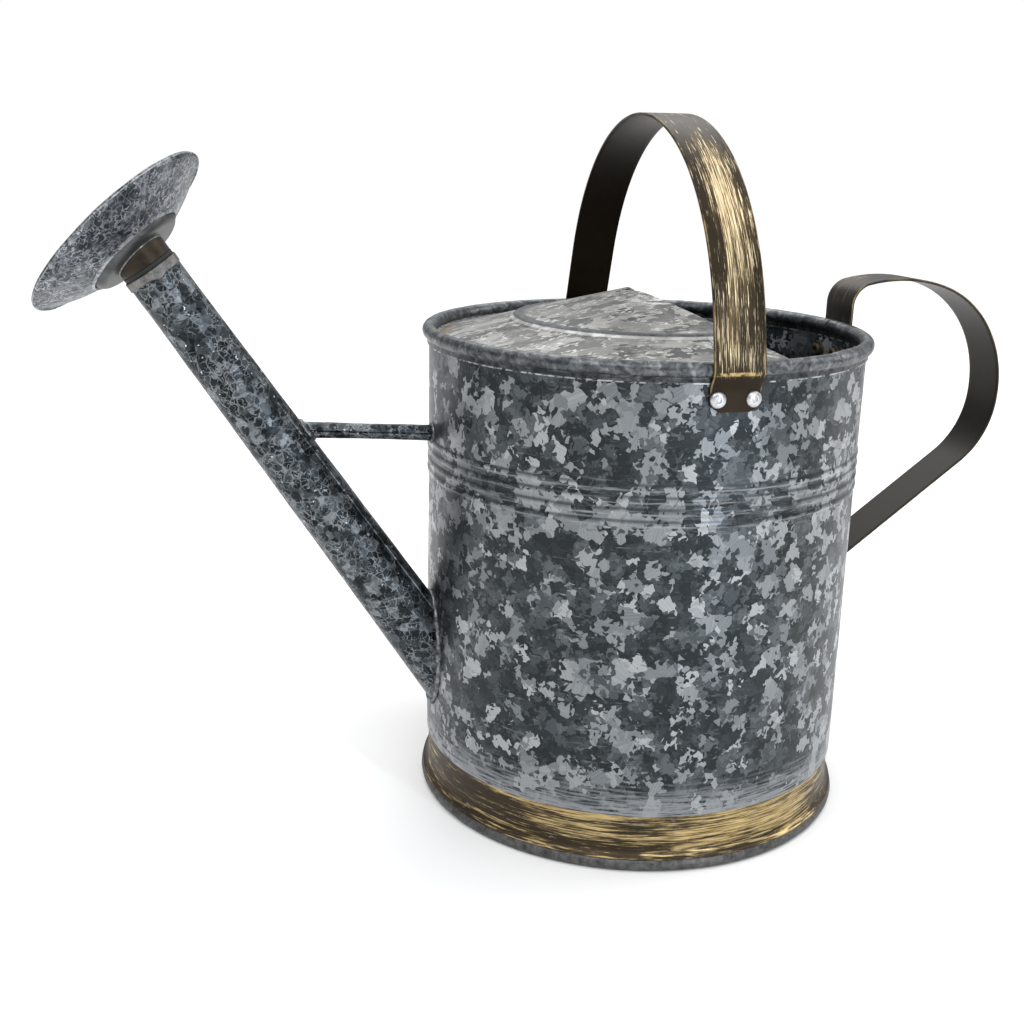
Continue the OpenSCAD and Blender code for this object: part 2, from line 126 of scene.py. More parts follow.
class Finish:
    def __init__(self, name):
        self.material = bpy.data.materials.new(name)
        self.material.use_nodes = True
        self.tree = self.material.node_tree
        self.shader = self.tree.nodes["Principled BSDF"]

    # Sets the sockets of a node, or links them
    def fill(self, made, sockets):
        for key, value in sockets.items():
            if isinstance(value, Value):
                self.tree.links.new(value.socket, made.inputs[key])
            else:
                made.inputs[key].default_value = value

    def node(self, kind, settings=None, sockets=None, output=0):
        made = self.tree.nodes.new(kind)
        for key, value in (settings or {}).items():
            if key == "stops":
                ramp = made.color_ramp
                while len(ramp.elements) < len(value):
                    ramp.elements.new(0.5)
                for element, (place, colour) in zip(ramp.elements, value):
                    element.position = place
                    element.color = (*colour, 1)
            elif key == "spread":
                made.color_ramp.interpolation = value
            else:
                setattr(made, key, value)
        self.fill(made, sockets or {})
        return Value(self, made.outputs[output])

    def maths(self, operation, *terms):
        return self.node("ShaderNodeMath", {"operation": operation}, dict(enumerate(terms)))

    def vector(self, operation, *terms, output=0):
        return self.node("ShaderNodeVectorMath", {"operation": operation},
                         dict(enumerate(terms)), output)

    # A vector operation whose answer is one number
    def number(self, operation, *terms):
        return self.vector(operation, *terms, output="Value")

    def clamped(self, value):
        return self.node("ShaderNodeClamp", {}, {"Value": value})

    # Rises smoothly from 0 to 1
    def between(self, value, low, high):
        return self.node("ShaderNodeMapRange", {"interpolation_type": "SMOOTHSTEP"},
                         {"Value": value, "From Min": low, "From Max": high})

    # Rises from 0 to 1, and falls again
    def strip(self, value, low, full, fade, high):
        return self.between(value, low, full) - self.between(value, fade, high)

    def joined(self, x, y=0.0, z=0.0):
        return self.node("ShaderNodeCombineXYZ", {}, {0: x, 1: y, 2: z})

    def shaded(self, colour, by):
        return self.node("ShaderNodeVectorMath", {"operation": "SCALE"},
                         {0: colour, "Scale": by})

    def mix(self, factor, first, second):
        first, second = [(*c, 1) if isinstance(c, tuple) else c for c in (first, second)]
        return self.node("ShaderNodeMix", {"data_type": "RGBA"},
                         {0: factor, 6: first, 7: second}, 2)

    def ramp(self, value, stops, spread="LINEAR"):
        return self.node("ShaderNodeValToRGB", {"stops": stops, "spread": spread}, {0: value})

    def place(self):
        return self.node("ShaderNodeTexCoord", output="Object")

    def parts(self, vector):
        split = self.node("ShaderNodeSeparateXYZ", {}, {0: vector})
        return [Value(self, out) for out in split.socket.node.outputs]

    def stretched(self, vector, scale, turn=(0, 0, 0)):
        return self.node("ShaderNodeMapping", {},
                         {"Vector": vector, "Scale": scale, "Rotation": turn})

    def cloud(self, vector, size, detail=3.0, rough=0.5, twist=0.0, output="Fac"):
        return self.node("ShaderNodeTexNoise", {}, {
            "Vector": vector, "Scale": 1 / size, "Detail": detail, "Roughness": rough,
            "Distortion": twist}, output)

    def warped(self, vector, size, amount):
        wild = self.cloud(vector, size, 1.0, output="Color")
        centred = self.vector("SUBTRACT", wild, (0.5, 0.5, 0.5))
        return self.vector("ADD", vector, self.shaded(centred, amount))

    def cells(self, vector, size, feature="F1"):
        return self.node("ShaderNodeTexVoronoi", {"feature": feature},
                         {"Vector": vector, "Scale": 1 / size},
                         "Color" if feature == "F1" else "Distance")

    # A thin clear film, the same all over
    def coated(self, weight, roughness):
        self.fill(self.shader, {"Coat Weight": weight, "Coat Roughness": roughness})

    def finished(self, colour, roughness, metallic, height=None, depth=0.0):
        self.fill(self.shader, {"Base Color": colour, "Roughness": roughness,
                                "Metallic": metallic})
        if height is not None:
            bump = self.node("ShaderNodeBump", {}, {"Height": height, "Distance": depth,
                                                    "Strength": 1.0})
            self.fill(self.shader, {"Normal": bump})
        return self.material


swage = dict(z=157 * mm, count=4, pitch=4.8 * mm, height=0.5 * mm, width=1.25 * mm,
             low=147.4 * mm, high=166.6 * mm)
bodyLook = dict(chip=2.6 * mm, leaf=5.9 * mm, shift=3.9 * mm, lightShare=0.31, middleShare=0.26,
                wornFrom=24 * mm, wornTo=46 * mm, hemLow=5.5 * mm, hemHigh=4.9 * mm)


# Jagged leaf-like crystals: each chip of one cell pattern looks up another, moved its own way
def leafPatches(f, at, chip, leaf, shift):
    bent = f.warped(at, chip * 0.95, chip * 0.75)
    own = f.vector("SUBTRACT", f.cells(bent, chip), (0.5, 0.5, 0.5))
    moved = f.vector("ADD", bent, f.shaded(own, shift))
    return f.cells(moved, leaf), moved


# Fine lines that run another way in each crystal
def veins(f, at, leaf, size):
    lane = f.number("DOT_PRODUCT", at, f.vector("SUBTRACT", leaf, (0.5, 0.5, 0.5)))
    return f.cloud(f.joined(lane), size, 2.0, 0.6)


def outlines(f, moved, size, width):
    return 1 - f.between(f.cells(moved, size, "DISTANCE_TO_EDGE"), width * 0.3, width)


def zincBody():
    f = Finish("spangledZinc")
    at = f.place()
    z = f.parts(at)[2]
    chip, leafSize, shift = (bodyLook[k] for k in ("chip", "leaf", "shift"))
    leaf, moved = leafPatches(f, at, chip, leafSize, shift)
    small, _ = leafPatches(f, at, chip * 0.6, leafSize * 0.6, shift * 0.6)
    big, fine = f.parts(leaf), f.parts(small)
    lines = veins(f, at, leaf, 0.32 * mm)
    dark = f.ramp(fine[0], [(0, (0.021, 0.027, 0.031)), (0.30, (0.031, 0.039, 0.044)),
                            (0.62, (0.046, 0.056, 0.062)), (0.84, (0.072, 0.085, 0.093))],
                  "CONSTANT")
    middle = f.ramp(fine[1], [(0, (0.080, 0.093, 0.102)), (0.55, (0.122, 0.138, 0.148))],
                    "CONSTANT")
    light = f.ramp(big[2], [(0, (0.215, 0.235, 0.250)), (0.30, (0.285, 0.305, 0.320)),
                            (0.62, (0.350, 0.370, 0.385)), (0.86, (0.440, 0.460, 0.475))],
                   "CONSTANT")
    isLight = big[0] > 1 - bodyLook["lightShare"]
    isMiddle = big[1] > 1 - bodyLook["middleShare"]
    colour = f.mix(isLight, f.mix(isMiddle, dark, middle), light)
    colour = f.shaded(colour, 0.34 + 0.86 * lines)
    # Pale brushed wear above the body's lower edge and on the swage lines
    streaks = f.cloud(f.stretched(at, (0.10, 0.10, 1.4)), 1.5 * mm, 4.0, 0.65)
    wornZone = 1 - f.between(z, bodyLook["wornFrom"], bodyLook["wornTo"])
    swageZone = f.strip(z, 144 * mm, 149 * mm, 165 * mm, 170 * mm)
    worn = f.between(streaks + 0.17 * wornZone, 0.52, 0.70) * wornZone * 0.85
    worn = worn + f.between(streaks, 0.53, 0.66) * swageZone * 0.45
    colour = f.mix(worn, colour, (0.300, 0.315, 0.330))
    # Painted shade and highlight on the swage lines: a dark band just above each swage's crest,
    # and a pale painted highlight just below it, broken up by the brushed streaks
    turnsUp = f.maths("FRACT", (z - swage["low"]) * (1 / swage["pitch"]))
    grooveShade = f.strip(turnsUp, 0.60, 0.70, 0.80, 0.90)
    crestHighlight = f.strip(turnsUp, 0.14, 0.24, 0.34, 0.44)
    onSwages = f.strip(z, swage["low"], swage["low"] + 0.5 * mm, swage["high"],
                       swage["high"] + 0.5 * mm)
    colour = f.mix(grooveShade * onSwages * 0.5, colour, (0.030, 0.036, 0.040))
    colour = f.mix(crestHighlight * onSwages * f.between(streaks, 0.40, 0.58) * 0.5, colour,
                   (0.33, 0.35, 0.37))
    scuffs = f.cloud(f.stretched(at, (0.16, 0.16, 1.0), (0.2, 0, 0)), 2.4 * mm, 3.0, 0.7)
    colour = f.mix(f.between(scuffs, 0.62, 0.74) * 0.35, colour, (0.30, 0.315, 0.335))
    # The zinc inside the can is painted twice as bright: painted light, standing in for light that
    # reaches the interior
    radius = f.number("LENGTH", f.vector("MULTIPLY", at, (1, 1, 0)))
    colour = f.shaded(colour, 2 - (radius > bodyR - 0.4 * mm))
    # The rim bead is smooth and grey, with a bright broken line along its hem
    rimMask = f.between(z, rimZ - 5.0 * mm, rimZ - 4.7 * mm)
    mottle = f.cloud(at, 4.2 * mm, 5.0, 0.66, 0.8)
    rimTone = f.ramp(mottle, [(0.34, (0.024, 0.028, 0.032)), (0.47, (0.072, 0.079, 0.086)),
                              (0.58, (0.150, 0.157, 0.165)), (0.70, (0.290, 0.298, 0.306))])
    # Painted shade: the bead's underside and the band below it, down to the hem, are painted half
    # as bright
    rimTone = f.shaded(rimTone, 0.50 + 0.50 * f.between(z, rimZ - 3.6 * mm, rimZ - 2.6 * mm))
    colour = f.mix(rimMask, colour, rimTone)
    hemLow, hemHigh = rimZ - bodyLook["hemLow"], rimZ - bodyLook["hemHigh"]
    hem = f.strip(z, hemLow, hemLow + 0.15 * mm, hemHigh, hemHigh + 0.15 * mm)
    broken = f.between(f.cloud(at, 3.4 * mm, 3.0, 0.6), 0.44, 0.60)
    colour = f.mix(hem * broken * 0.9, colour, (0.50, 0.51, 0.52))
    rough = 0.40 - 0.06 * isLight + 0.12 * mottle
    height = 0.5 * isLight + 0.3 * fine[0] + 0.3 * lines
    f.coated(0.18, 0.20)
    return f.finished(colour, rough, 0.86, height, 0.05 * mm)


coverLook = dict(chip=2.8 * mm, leaf=7.2 * mm, shift=4.6 * mm, ringR=57 * mm,
                 smearAt=(-0.004, -0.014), smearSize=15 * mm)


def zincCover():
    f = Finish("paleZinc")
    at = f.place()
    x, y, _ = f.parts(at)
    drawn = f.stretched(at, (0.7, 1.25, 0.8), (0, 0, 0.45))
    leaf, moved = leafPatches(f, drawn, coverLook["chip"], coverLook["leaf"], coverLook["shift"])
    tone = f.parts(leaf)
    base = f.ramp(tone[0], [(0, (0.072, 0.075, 0.075)), (0.22, (0.130, 0.130, 0.125)),
                            (0.46, (0.205, 0.203, 0.194)), (0.76, (0.310, 0.308, 0.296))],
                  "CONSTANT")
    veil = f.cloud(at, 15 * mm, 5.0, 0.64, 0.6)
    colour = f.mix(f.between(veil, 0.46, 0.74) * 0.55, base, (0.250, 0.247, 0.235))
    edge = outlines(f, moved, coverLook["leaf"], 0.075)
    wisps = f.between(f.cloud(at, 6 * mm, 3.0), 0.46, 0.60)
    colour = f.mix(edge * wisps * 0.9, colour, (0.56, 0.56, 0.55))
    brushed = f.cloud(f.stretched(drawn, (0.22, 1.4, 1)), 1.3 * mm, 4.0, 0.7)
    colour = f.shaded(colour, 0.22 + 1.50 * brushed)
    smear = f.cloud(f.stretched(at, (0.35, 1.5, 1), (0, 0, 0.9)), 2.6 * mm, 5.0, 0.72)
    away = f.number("DISTANCE", f.vector("MULTIPLY", at, (1, 1, 0)), (*coverLook["smearAt"], 0))
    close = 1 - f.between(away, 2 * mm, coverLook["smearSize"])
    patchy = f.between(veil, 0.56, 0.66) * 0.6
    colour = f.mix(f.between(smear, 0.50, 0.60) * (close + patchy) * 0.95, colour,
                   (0.80, 0.81, 0.81))
    radius = f.number("LENGTH", f.vector("MULTIPLY", at, (1, 1, 0)))
    ring = coverLook["ringR"]
    # Painted shade and highlight on the pressed ring: a dark mottled band over the ring and just
    # inside it, and a bright painted highlight line on its outer side
    ringShade = f.strip(radius, ring - 4 * mm, ring - 3 * mm, ring + 1 * mm, ring + 1.8 * mm)
    ringShadeTone = f.ramp(f.cloud(at, 2.8 * mm, 4.0, 0.65), [(0.35, (0.040, 0.045, 0.050)),
                                                         (0.65, (0.125, 0.130, 0.137))])
    colour = f.mix(ringShade, colour, ringShadeTone)
    lit = f.strip(radius, ring + 1.2 * mm, ring + 1.7 * mm, ring + 2.4 * mm, ring + 3 * mm)
    colour = f.mix(lit * (0.45 + 0.5 * wisps), colour, (0.62, 0.62, 0.62))
    stain = f.between(radius, 84 * mm, 90 * mm) * f.between(y - x, 10 * mm, 60 * mm)
    stain = stain * f.between(f.cloud(at, 9 * mm, 3.0), 0.4, 0.6)
    colour = f.mix(stain * 0.8, colour, (0.25, 0.175, 0.105))
    return f.finished(colour, 0.44 + 0.16 * veil, 0.62, edge + 0.4 * brushed, 0.10 * mm)


spoutLook = dict(cell=3.9 * mm, fine=1.9 * mm, line=0.085)


def zincSpout():
    f = Finish("fineSpangle")
    at = f.place()
    bent = f.warped(f.warped(at, 5 * mm, 3.6 * mm), 1.6 * mm, 1.3 * mm)
    tone = f.parts(f.cells(bent, spoutLook["cell"]))
    edge = outlines(f, bent, spoutLook["cell"], spoutLook["line"])
    small, _ = leafPatches(f, at, spoutLook["fine"], spoutLook["fine"] * 1.9, spoutLook["fine"])
    fine = f.parts(small)
    base = f.ramp(tone[0], [(0, (0.018, 0.023, 0.026)), (0.32, (0.032, 0.040, 0.045)),
                            (0.62, (0.064, 0.075, 0.082)), (0.86, (0.150, 0.166, 0.178))],
                  "CONSTANT")
    base = f.shaded(base, 0.35 + 1.25 * fine[0])
    wisps = f.between(f.cloud(at, 7 * mm, 4.0, 0.6), 0.38, 0.58)
    colour = f.mix(edge * (0.04 + 0.56 * wisps), base, (0.25, 0.27, 0.29))
    worms = abs(f.cloud(f.warped(at, 3 * mm, 3 * mm), 2.6 * mm, 1.0) - 0.52)
    colour = f.mix((1 - f.between(worms, 0.006, 0.028)) * wisps * 0.65, colour, (0.33, 0.35, 0.37))
    specks = f.between(f.cloud(at, 2.0 * mm, 2.0), 0.705, 0.745)
    colour = f.mix(specks * 0.85, colour, (0.80, 0.81, 0.82))
    rough = 0.34 + 0.14 * fine[1]
    return f.finished(colour, rough, 0.86, 0.8 * edge + 0.4 * fine[2] + 3 * specks, 0.08 * mm)


roseLook = dict(worm=4.0 * mm, line=0.040)


def zincRose():
    f = Finish("wormyZinc")
    at = f.place()
    high = f.number("DOT_PRODUCT", f.vector("SUBTRACT", at, tuple(roseFrame.translation)),
                    tuple(roseFrame.col[2].xyz))
    tone = f.cloud(at, 17 * mm, 4.0, 0.62, 0.4)
    base = f.ramp(tone, [(0.34, (0.030, 0.037, 0.042)), (0.47, (0.062, 0.072, 0.080)),
                         (0.58, (0.125, 0.137, 0.151)), (0.70, (0.230, 0.247, 0.275))])
    fleck = f.parts(f.cells(f.warped(at, 2.4 * mm, 2.2 * mm), 2.1 * mm))
    base = f.shaded(base, 0.40 + 1.1 * fleck[0])
    bent = f.warped(at, 3.2 * mm, 4.2 * mm)
    worms = abs(f.cloud(bent, roseLook["worm"], 2.0, 0.5) - 0.5)
    ridge = 1 - f.between(worms, roseLook["line"] * 0.25, roseLook["line"])
    hooks = abs(f.cloud(f.warped(at, 2 * mm, 3 * mm), 3.0 * mm, 0.0) - 0.57)
    ridge = f.maths("MAXIMUM", ridge, 0.8 * (1 - f.between(hooks, 0.010, 0.040)))
    shown = f.between(f.cloud(at, 8 * mm, 3.0, 0.6), 0.36, 0.60)
    colour = f.mix(ridge * (0.30 + 0.60 * shown), base, (0.46, 0.48, 0.52))
    pits = f.between(f.cloud(at, 1.7 * mm, 2.0), 0.67, 0.71)
    colour = f.mix(pits * 0.85, colour, (0.016, 0.018, 0.022))
    seam = 1 - f.between(high, neckH - 0.9 * mm, neckH - 0.5 * mm)
    edge = rose["depth"]
    rim = f.strip(high, edge - 0.1 * mm, edge + 0.1 * mm, edge + 0.3 * mm, edge + 0.5 * mm)
    shine = (seam + rim) * f.between(f.cloud(at, 5 * mm, 4.0, 0.65), 0.36, 0.62)
    colour = f.mix(shine * 0.75, colour, (0.52, 0.53, 0.55))
    return f.finished(colour, 0.36 + 0.14 * tone, 0.86, 0.8 * ridge - pits, 0.12 * mm)


def zincPlain(name, low, high, grain=3 * mm, warm=0.0, rough=0.42):
    f = Finish(name)
    at = f.place()
    veil = f.cloud(at, grain, 5.0, 0.62, 0.4)
    tint = (1 + warm, 1, 1 - warm)
    colour = f.ramp(veil, [(0.34, tuple(low * c for c in tint)),
                           (0.66, tuple(high * c for c in tint))])
    scratch = f.cloud(f.stretched(at, (0.2, 0.2, 1.6)), 1.2 * mm, 3.0, 0.7)
    colour = f.shaded(colour, 0.7 + 0.6 * scratch)
    return f.finished(colour, rough + 0.2 * veil, 0.75, veil + 0.4 * scratch, 0.06 * mm)


def solderMetal():
    f = Finish("softSolder")
    at = f.place()
    lumps = f.cloud(at, 2.2 * mm, 4.0, 0.62, 0.5)
    colour = f.ramp(lumps, [(0.34, (0.050, 0.054, 0.058)), (0.50, (0.170, 0.176, 0.182)),
                            (0.62, (0.310, 0.318, 0.325)), (0.72, (0.560, 0.570, 0.580))])
    return f.finished(colour, 0.34 + 0.24 * lumps, 0.82, lumps, 0.16 * mm)


# Dark bronze, brushed back along the strap; u runs across and v along, in metres, and the
# inner face lies a metre further across
def bronze(name, dark, low, high, wearAndHighlight, gild):
    f = Finish(name)
    at = f.place()
    z = f.parts(at)[2]
    across, along, _ = f.parts(f.node("ShaderNodeUVMap", {"uv_map": "strap"}))
    outer = 1 - (across > 0.5)
    fine = f.cloud(f.joined(across, along * 0.030), 0.40 * mm, 3.0, 0.7)
    wide = f.cloud(f.joined(across, along * 0.016), 1.7 * mm, 3.0, 0.6)
    slow = f.cloud(at, 26 * mm, 2.0)
    # Wear and painted highlight: the gilt wear and the paler brown gather in a band on the
    # shoulder and along the middle of the strap, where the highlight falls
    shoulderWearAndHighlight = f.between(z, low, high)
    shoulderWearAndHighlight = shoulderWearAndHighlight * (1 - 0.6 * f.between(z, high + 22 * mm, high + 44 * mm))
    foot = 1 - f.between(z, creaseZ - 2.6 * mm, creaseZ - 0.8 * mm)
    side = abs(across - (1 - outer))
    half = strap["width"] / 2
    belly = 1 - f.between(side, half * 0.15, half * 0.95)
    amount = fine * 0.66 + wide * 0.44 + slow * 0.26 + wearAndHighlight * shoulderWearAndHighlight * (0.25 + 0.75 * belly)
    thin = f.between(fine * 0.9 + slow * 0.3 + wide * 0.1, 0.735, 0.795) * gild * 0.55
    worn = f.clamped(f.between(amount, 0.845, 0.95) + thin) * outer * (1 - foot)
    soft = f.between(wide * 0.5 + slow * 0.5 + wearAndHighlight * shoulderWearAndHighlight * belly, 0.54, 0.78)
    soft = soft * outer * (1 - foot)
    veil = f.cloud(at, 6 * mm, 4.0, 0.62)
    # Painted shade: the inner face's base is painted darker than the outer face's. The base is
    # also darker on the foot.
    base = f.shaded(f.mix(veil, dark, tuple(1.7 * c for c in dark)),
                    (0.45 + 0.20 * outer) * (1 - 0.15 * foot))
    colour = f.mix(soft * 0.75, base, (0.150, 0.105, 0.052))
    gold = f.ramp(fine, [(0.35, (0.34, 0.24, 0.11)), (0.66, (0.86, 0.72, 0.47))])
    colour = f.mix(worn, colour, gold)
    rubbed = f.between(side, half - 0.75 * mm, half - 0.30 * mm)
    rubbed = rubbed * outer * f.between(f.cloud(at, 12 * mm, 4.0, 0.6), 0.42, 0.70) * 0.7
    crease = f.strip(z, creaseZ - 1.3 * mm, creaseZ - 0.6 * mm, creaseZ + 0.1 * mm,
                     creaseZ + 0.7 * mm)
    crease = crease * outer * f.between(f.cloud(at, 3.4 * mm, 5.0, 0.75), 0.42, 0.62)
    bare = f.clamped(rubbed * gild + crease * gild)
    colour = f.mix(bare * 0.85, colour, (0.52, 0.37, 0.16))
    rough = 0.38 - 0.10 * worn + 0.10 * veil
    return f.finished(colour, rough, 0.93, fine * 0.4 - worn * 0.4, 0.05 * mm)


def bandBrass():
    f = Finish("brushedBrass")
    at = f.place()
    y = f.parts(at)[1]
    fine = f.cloud(f.stretched(at, (0.045, 0.045, 1.0)), 0.62 * mm, 4.0, 0.7)
    wide = f.cloud(f.stretched(at, (0.045, 0.045, 1.0)), 2.4 * mm, 3.0, 0.6)
    slow = f.cloud(at, 36 * mm, 3.0)
    # Painted light: the gilt wear grows more common towards the front of the band, where the light
    # falls
    paintedFrontLight = f.between(-1 * y, 20 * mm, 95 * mm) * 0.12
    worn = f.between(fine * 0.6 + wide * 0.5 + slow * 0.25 + paintedFrontLight, 0.73, 0.86)
    colour = f.mix(slow, (0.018, 0.013, 0.008), (0.070, 0.046, 0.022))
    gold = f.ramp(fine, [(0.40, (0.34, 0.235, 0.095)), (0.66, (0.64, 0.50, 0.25))])
    colour = f.mix(worn, colour, gold)
    lines = f.cloud(f.stretched(at, (0.02, 0.02, 1.0)), 0.5 * mm, 2.0, 0.6)
    colour = f.mix(f.between(lines, 0.57, 0.62) * 0.85, colour, (0.018, 0.014, 0.010))
    pale = f.between(f.cloud(f.stretched(at, (0.3, 0.3, 1)), 2.2 * mm, 4.0, 0.7), 0.62, 0.70)
    colour = f.mix(pale * 0.5, colour, (0.36, 0.34, 0.29))
    return f.finished(colour, 0.46 - 0.06 * worn, 0.70 + 0.2 * worn, fine - lines, 0.05 * mm)


def simpleMetal(name, colour, rough, metallic, size=2 * mm, depth=0.03, swing=0.6):
    f = Finish(name)
    veil = f.cloud(f.place(), size, 4.0, 0.6)
    tone = f.vector("MULTIPLY", f.ramp(veil, [(0.3, (1 - swing,) * 3), (0.7, (1 + swing,) * 3)]),
                    colour)
    return f.finished(tone, rough + 0.2 * veil, metallic, veil, depth * mm)


def makeFinishes():
    return dict(
        body=zincBody(), cover=zincCover(), spout=zincSpout(), rose=zincRose(),
        dull=zincPlain("dullZinc", 0.055, 0.115, 6 * mm, rough=0.36),
        foot=zincPlain("footZinc", 0.045, 0.150, warm=0.02),
        collar=zincPlain("warmZinc", 0.10, 0.26, warm=0.03),
        solder=solderMetal(),
        bail=bronze("brushedBronze", (0.033, 0.025, 0.016), rimZ + 4 * mm, rimZ + 48 * mm,
                    0.215, 1.0),
        grip=bronze("charcoalBronze", (0.052, 0.048, 0.042), rimZ, gripHigh.z, 0.05, 0.6),
        band=bandBrass(),
        rivet=simpleMetal("brightRivet", (0.52, 0.53, 0.54), 0.26, 0.9, 1.4 * mm, 0.05, 0.25),
        washer=simpleMetal("bronzeWasher", (0.075, 0.060, 0.042), 0.45, 0.7),
        wire=simpleMetal("steelWire", (0.14, 0.145, 0.15), 0.4, 0.9),
        brass=simpleMetal("agedBrass", (0.040, 0.032, 0.022), 0.34, 0.85, 9 * mm, 0.03, 0.55),
        rubber=simpleMetal("blackRubber", (0.010, 0.010, 0.010), 0.55, 0.0))


def smoothStep(low, high, value):
    t = min(max((value - low) / (high - low), 0), 1)
    return t * t * (3 - 2 * t)


# Points on a circle, from one angle to another in degrees
def arc(centre, radius, start, end, step=12):
    count = max(1, ceil(abs(end - start) / step))
    turns = [radians(start + (end - start) * i / count) for i in range(count + 1)]
    return [(centre[0] + radius * cos(t), centre[1] + radius * sin(t)) for t in turns]


# A point at a distance from Z, at an angle in radians and at a height
def polar(radius, turn, height=0.0):
    return Vector((radius * cos(turn), radius * sin(turn), height))


def evenly(start, end, count):
    return [start + (end - start) * i / count for i in range(count + 1)]


# Normals of a line of points, lengthened at bends so that a wall keeps its thickness
def mitres(line):
    out = []
    for i in range(len(line)):
        a = Vector(line[min(i, len(line) - 2) + 1]) - Vector(line[min(i, len(line) - 2)])
        b = Vector(line[max(i, 1)]) - Vector(line[max(i, 1) - 1])
        a.normalize(), b.normalize()
        middle = (a + b).normalized()
        out.append(Vector((-middle.y, middle.x)) / max(middle.dot(a), 0.4))
    return out


# The closed outline of a sheet whose middle is a line
def walled(line, thickness):
    side = mitres(line)
    left = [tuple(Vector(p) + n * thickness / 2) for p, n in zip(line, side)]
    right = [tuple(Vector(p) - n * thickness / 2) for p, n in zip(line, side)]
    return left + right[::-1]


def smoothed(mesh, sharp):
    mesh.shade_smooth()
    mesh.set_sharp_from_angle(angle=radians(sharp))


def objectFrom(name, bm, sharp=38):
    bmesh.ops.remove_doubles(bm, verts=bm.verts, dist=1e-7)
    bmesh.ops.recalc_face_normals(bm, faces=bm.faces)
    mesh = bpy.data.meshes.new(name)
    bm.to_mesh(mesh)
    bm.free()
    smoothed(mesh, sharp)
    made = bpy.data.objects.new(name, mesh)
    scene.collection.objects.link(made)
    return made


# Joins rows of points into faces; each row is a closed ring, and the rows may close too
def skin(bm, rows, closeRows=False, capped=False, layer=None, marks=None):
    rings = [[bm.verts.new(p) for p in row] for row in rows]
    size = len(rings[0])
    for i in range(len(rings) if closeRows else len(rings) - 1):
        near, far = rings[i], rings[(i + 1) % len(rings)]
        for k in range(size):
            corners = [near[k], near[(k + 1) % size], far[(k + 1) % size], far[k]]
            face = bm.faces.new(corners)
            if layer:
                here = [marks[i][k], marks[i][(k + 1) % size], marks[i + 1][(k + 1) % size],
                        marks[i + 1][k]]
                for loop, mark in zip(face.loops, here):
                    loop[layer].uv = mark
    if capped:
        bm.faces.new(rings[0][::-1])
        bm.faces.new(rings[-1])
    return rings


# A closed outline of (radius, height) turned about the axis of a placing matrix
def lathe(name, outline, placed=Matrix(), turns=160, azimuths=None, change=None, sharp=38):
    bm = bmesh.new()
    angles = azimuths or [360 * i / turns for i in range(turns)]
    rows = []
    for angle in angles:
        row = [polar(max(r, 0), radians(angle), h) for r, h in outline]
        if change:
            row = [change(p, angle) for p in row]
        rows.append([placed @ p for p in row])
    skin(bm, rows, closeRows=True)
    bmesh.ops.remove_doubles(bm, verts=bm.verts, dist=1e-7)
    bmesh.ops.dissolve_degenerate(bm, edges=bm.edges, dist=1e-8)
    return objectFrom(name, bm, sharp)


# A closed or open tube along a path, its radius given at each point
def tube(bm, path, radii, closed=True, sides=10):
    rows = []
    for i, (p, r) in enumerate(zip(path, radii)):
        after = path[(i + 1) % len(path)] if closed or i + 1 < len(path) else p
        before = path[i - 1] if closed or i else p
        ahead = (after - before).normalized()
        across = ahead.orthogonal() if i == 0 else (across - ahead * across.dot(ahead))
        across.normalize()
        up = ahead.cross(across)
        rows.append([p + r * (cos(t) * across + sin(t) * up)
                     for t in (2 * pi * k / sides for k in range(sides))])
    skin(bm, rows, closeRows=closed, capped=not closed)


# Where a rising function crosses zero
def solved(wanted, low, high):
    for _ in range(50):
        middle = (low + high) / 2
        if wanted(middle) < 0:
            low = middle
        else:
            high = middle
    return (low + high) / 2


def finishPiece(piece, body, look, slot, *replaced):
    piece.data.materials.clear()
    piece.data.materials.append(looks[look])
    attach(piece, body)
    if replaced:
        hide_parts(*replaced)


# Keeps what a modifier makes as the object's own mesh
def settle(thing, modifier):
    bpy.context.view_layer.update()
    graph = bpy.context.evaluated_depsgraph_get()
    mesh = bpy.data.meshes.new_from_object(thing.evaluated_get(graph))
    thing.modifiers.remove(modifier)
    thing.data = mesh


def cut(piece, cutter):
    boolean = piece.modifiers.new("cut", "BOOLEAN")
    boolean.object, boolean.operation, boolean.solver = cutter, "DIFFERENCE", "EXACT"
    settle(piece, boolean)
    bpy.data.objects.remove(cutter)


bodySheet = dict(hemDrop=5.4 * mm, seamWidth=9 * mm, seamStep=0.4 * mm, dent=0.22 * mm,
                 dentSize=38 * mm, beadStep=-58, beadStepSize=0.09, beadWobble=0.035,
                 beadGap=0.5)


# Heights of the wall's points, close together on the swages
def wallHeights():
    low, high = bodyZ0, rimZ - beadR + 0.2 * mm
    half = (swage["count"] / 2 + 0.5) * swage["pitch"]
    fineFrom, fineTo = swage["z"] - half, swage["z"] + half
    return (evenly(low, fineFrom, 30) + evenly(fineFrom, fineTo, 60)[1:]
            + evenly(fineTo, high, 12)[1:])


def swageBulge(z):
    total = 0
    for i in range(swage["count"]):
        steps = i - (swage["count"] - 1) / 2
        middle = swage["z"] + steps * swage["pitch"]
        total += exp(-((z - middle) / swage["width"]) ** 2)
    return swage["height"] * total


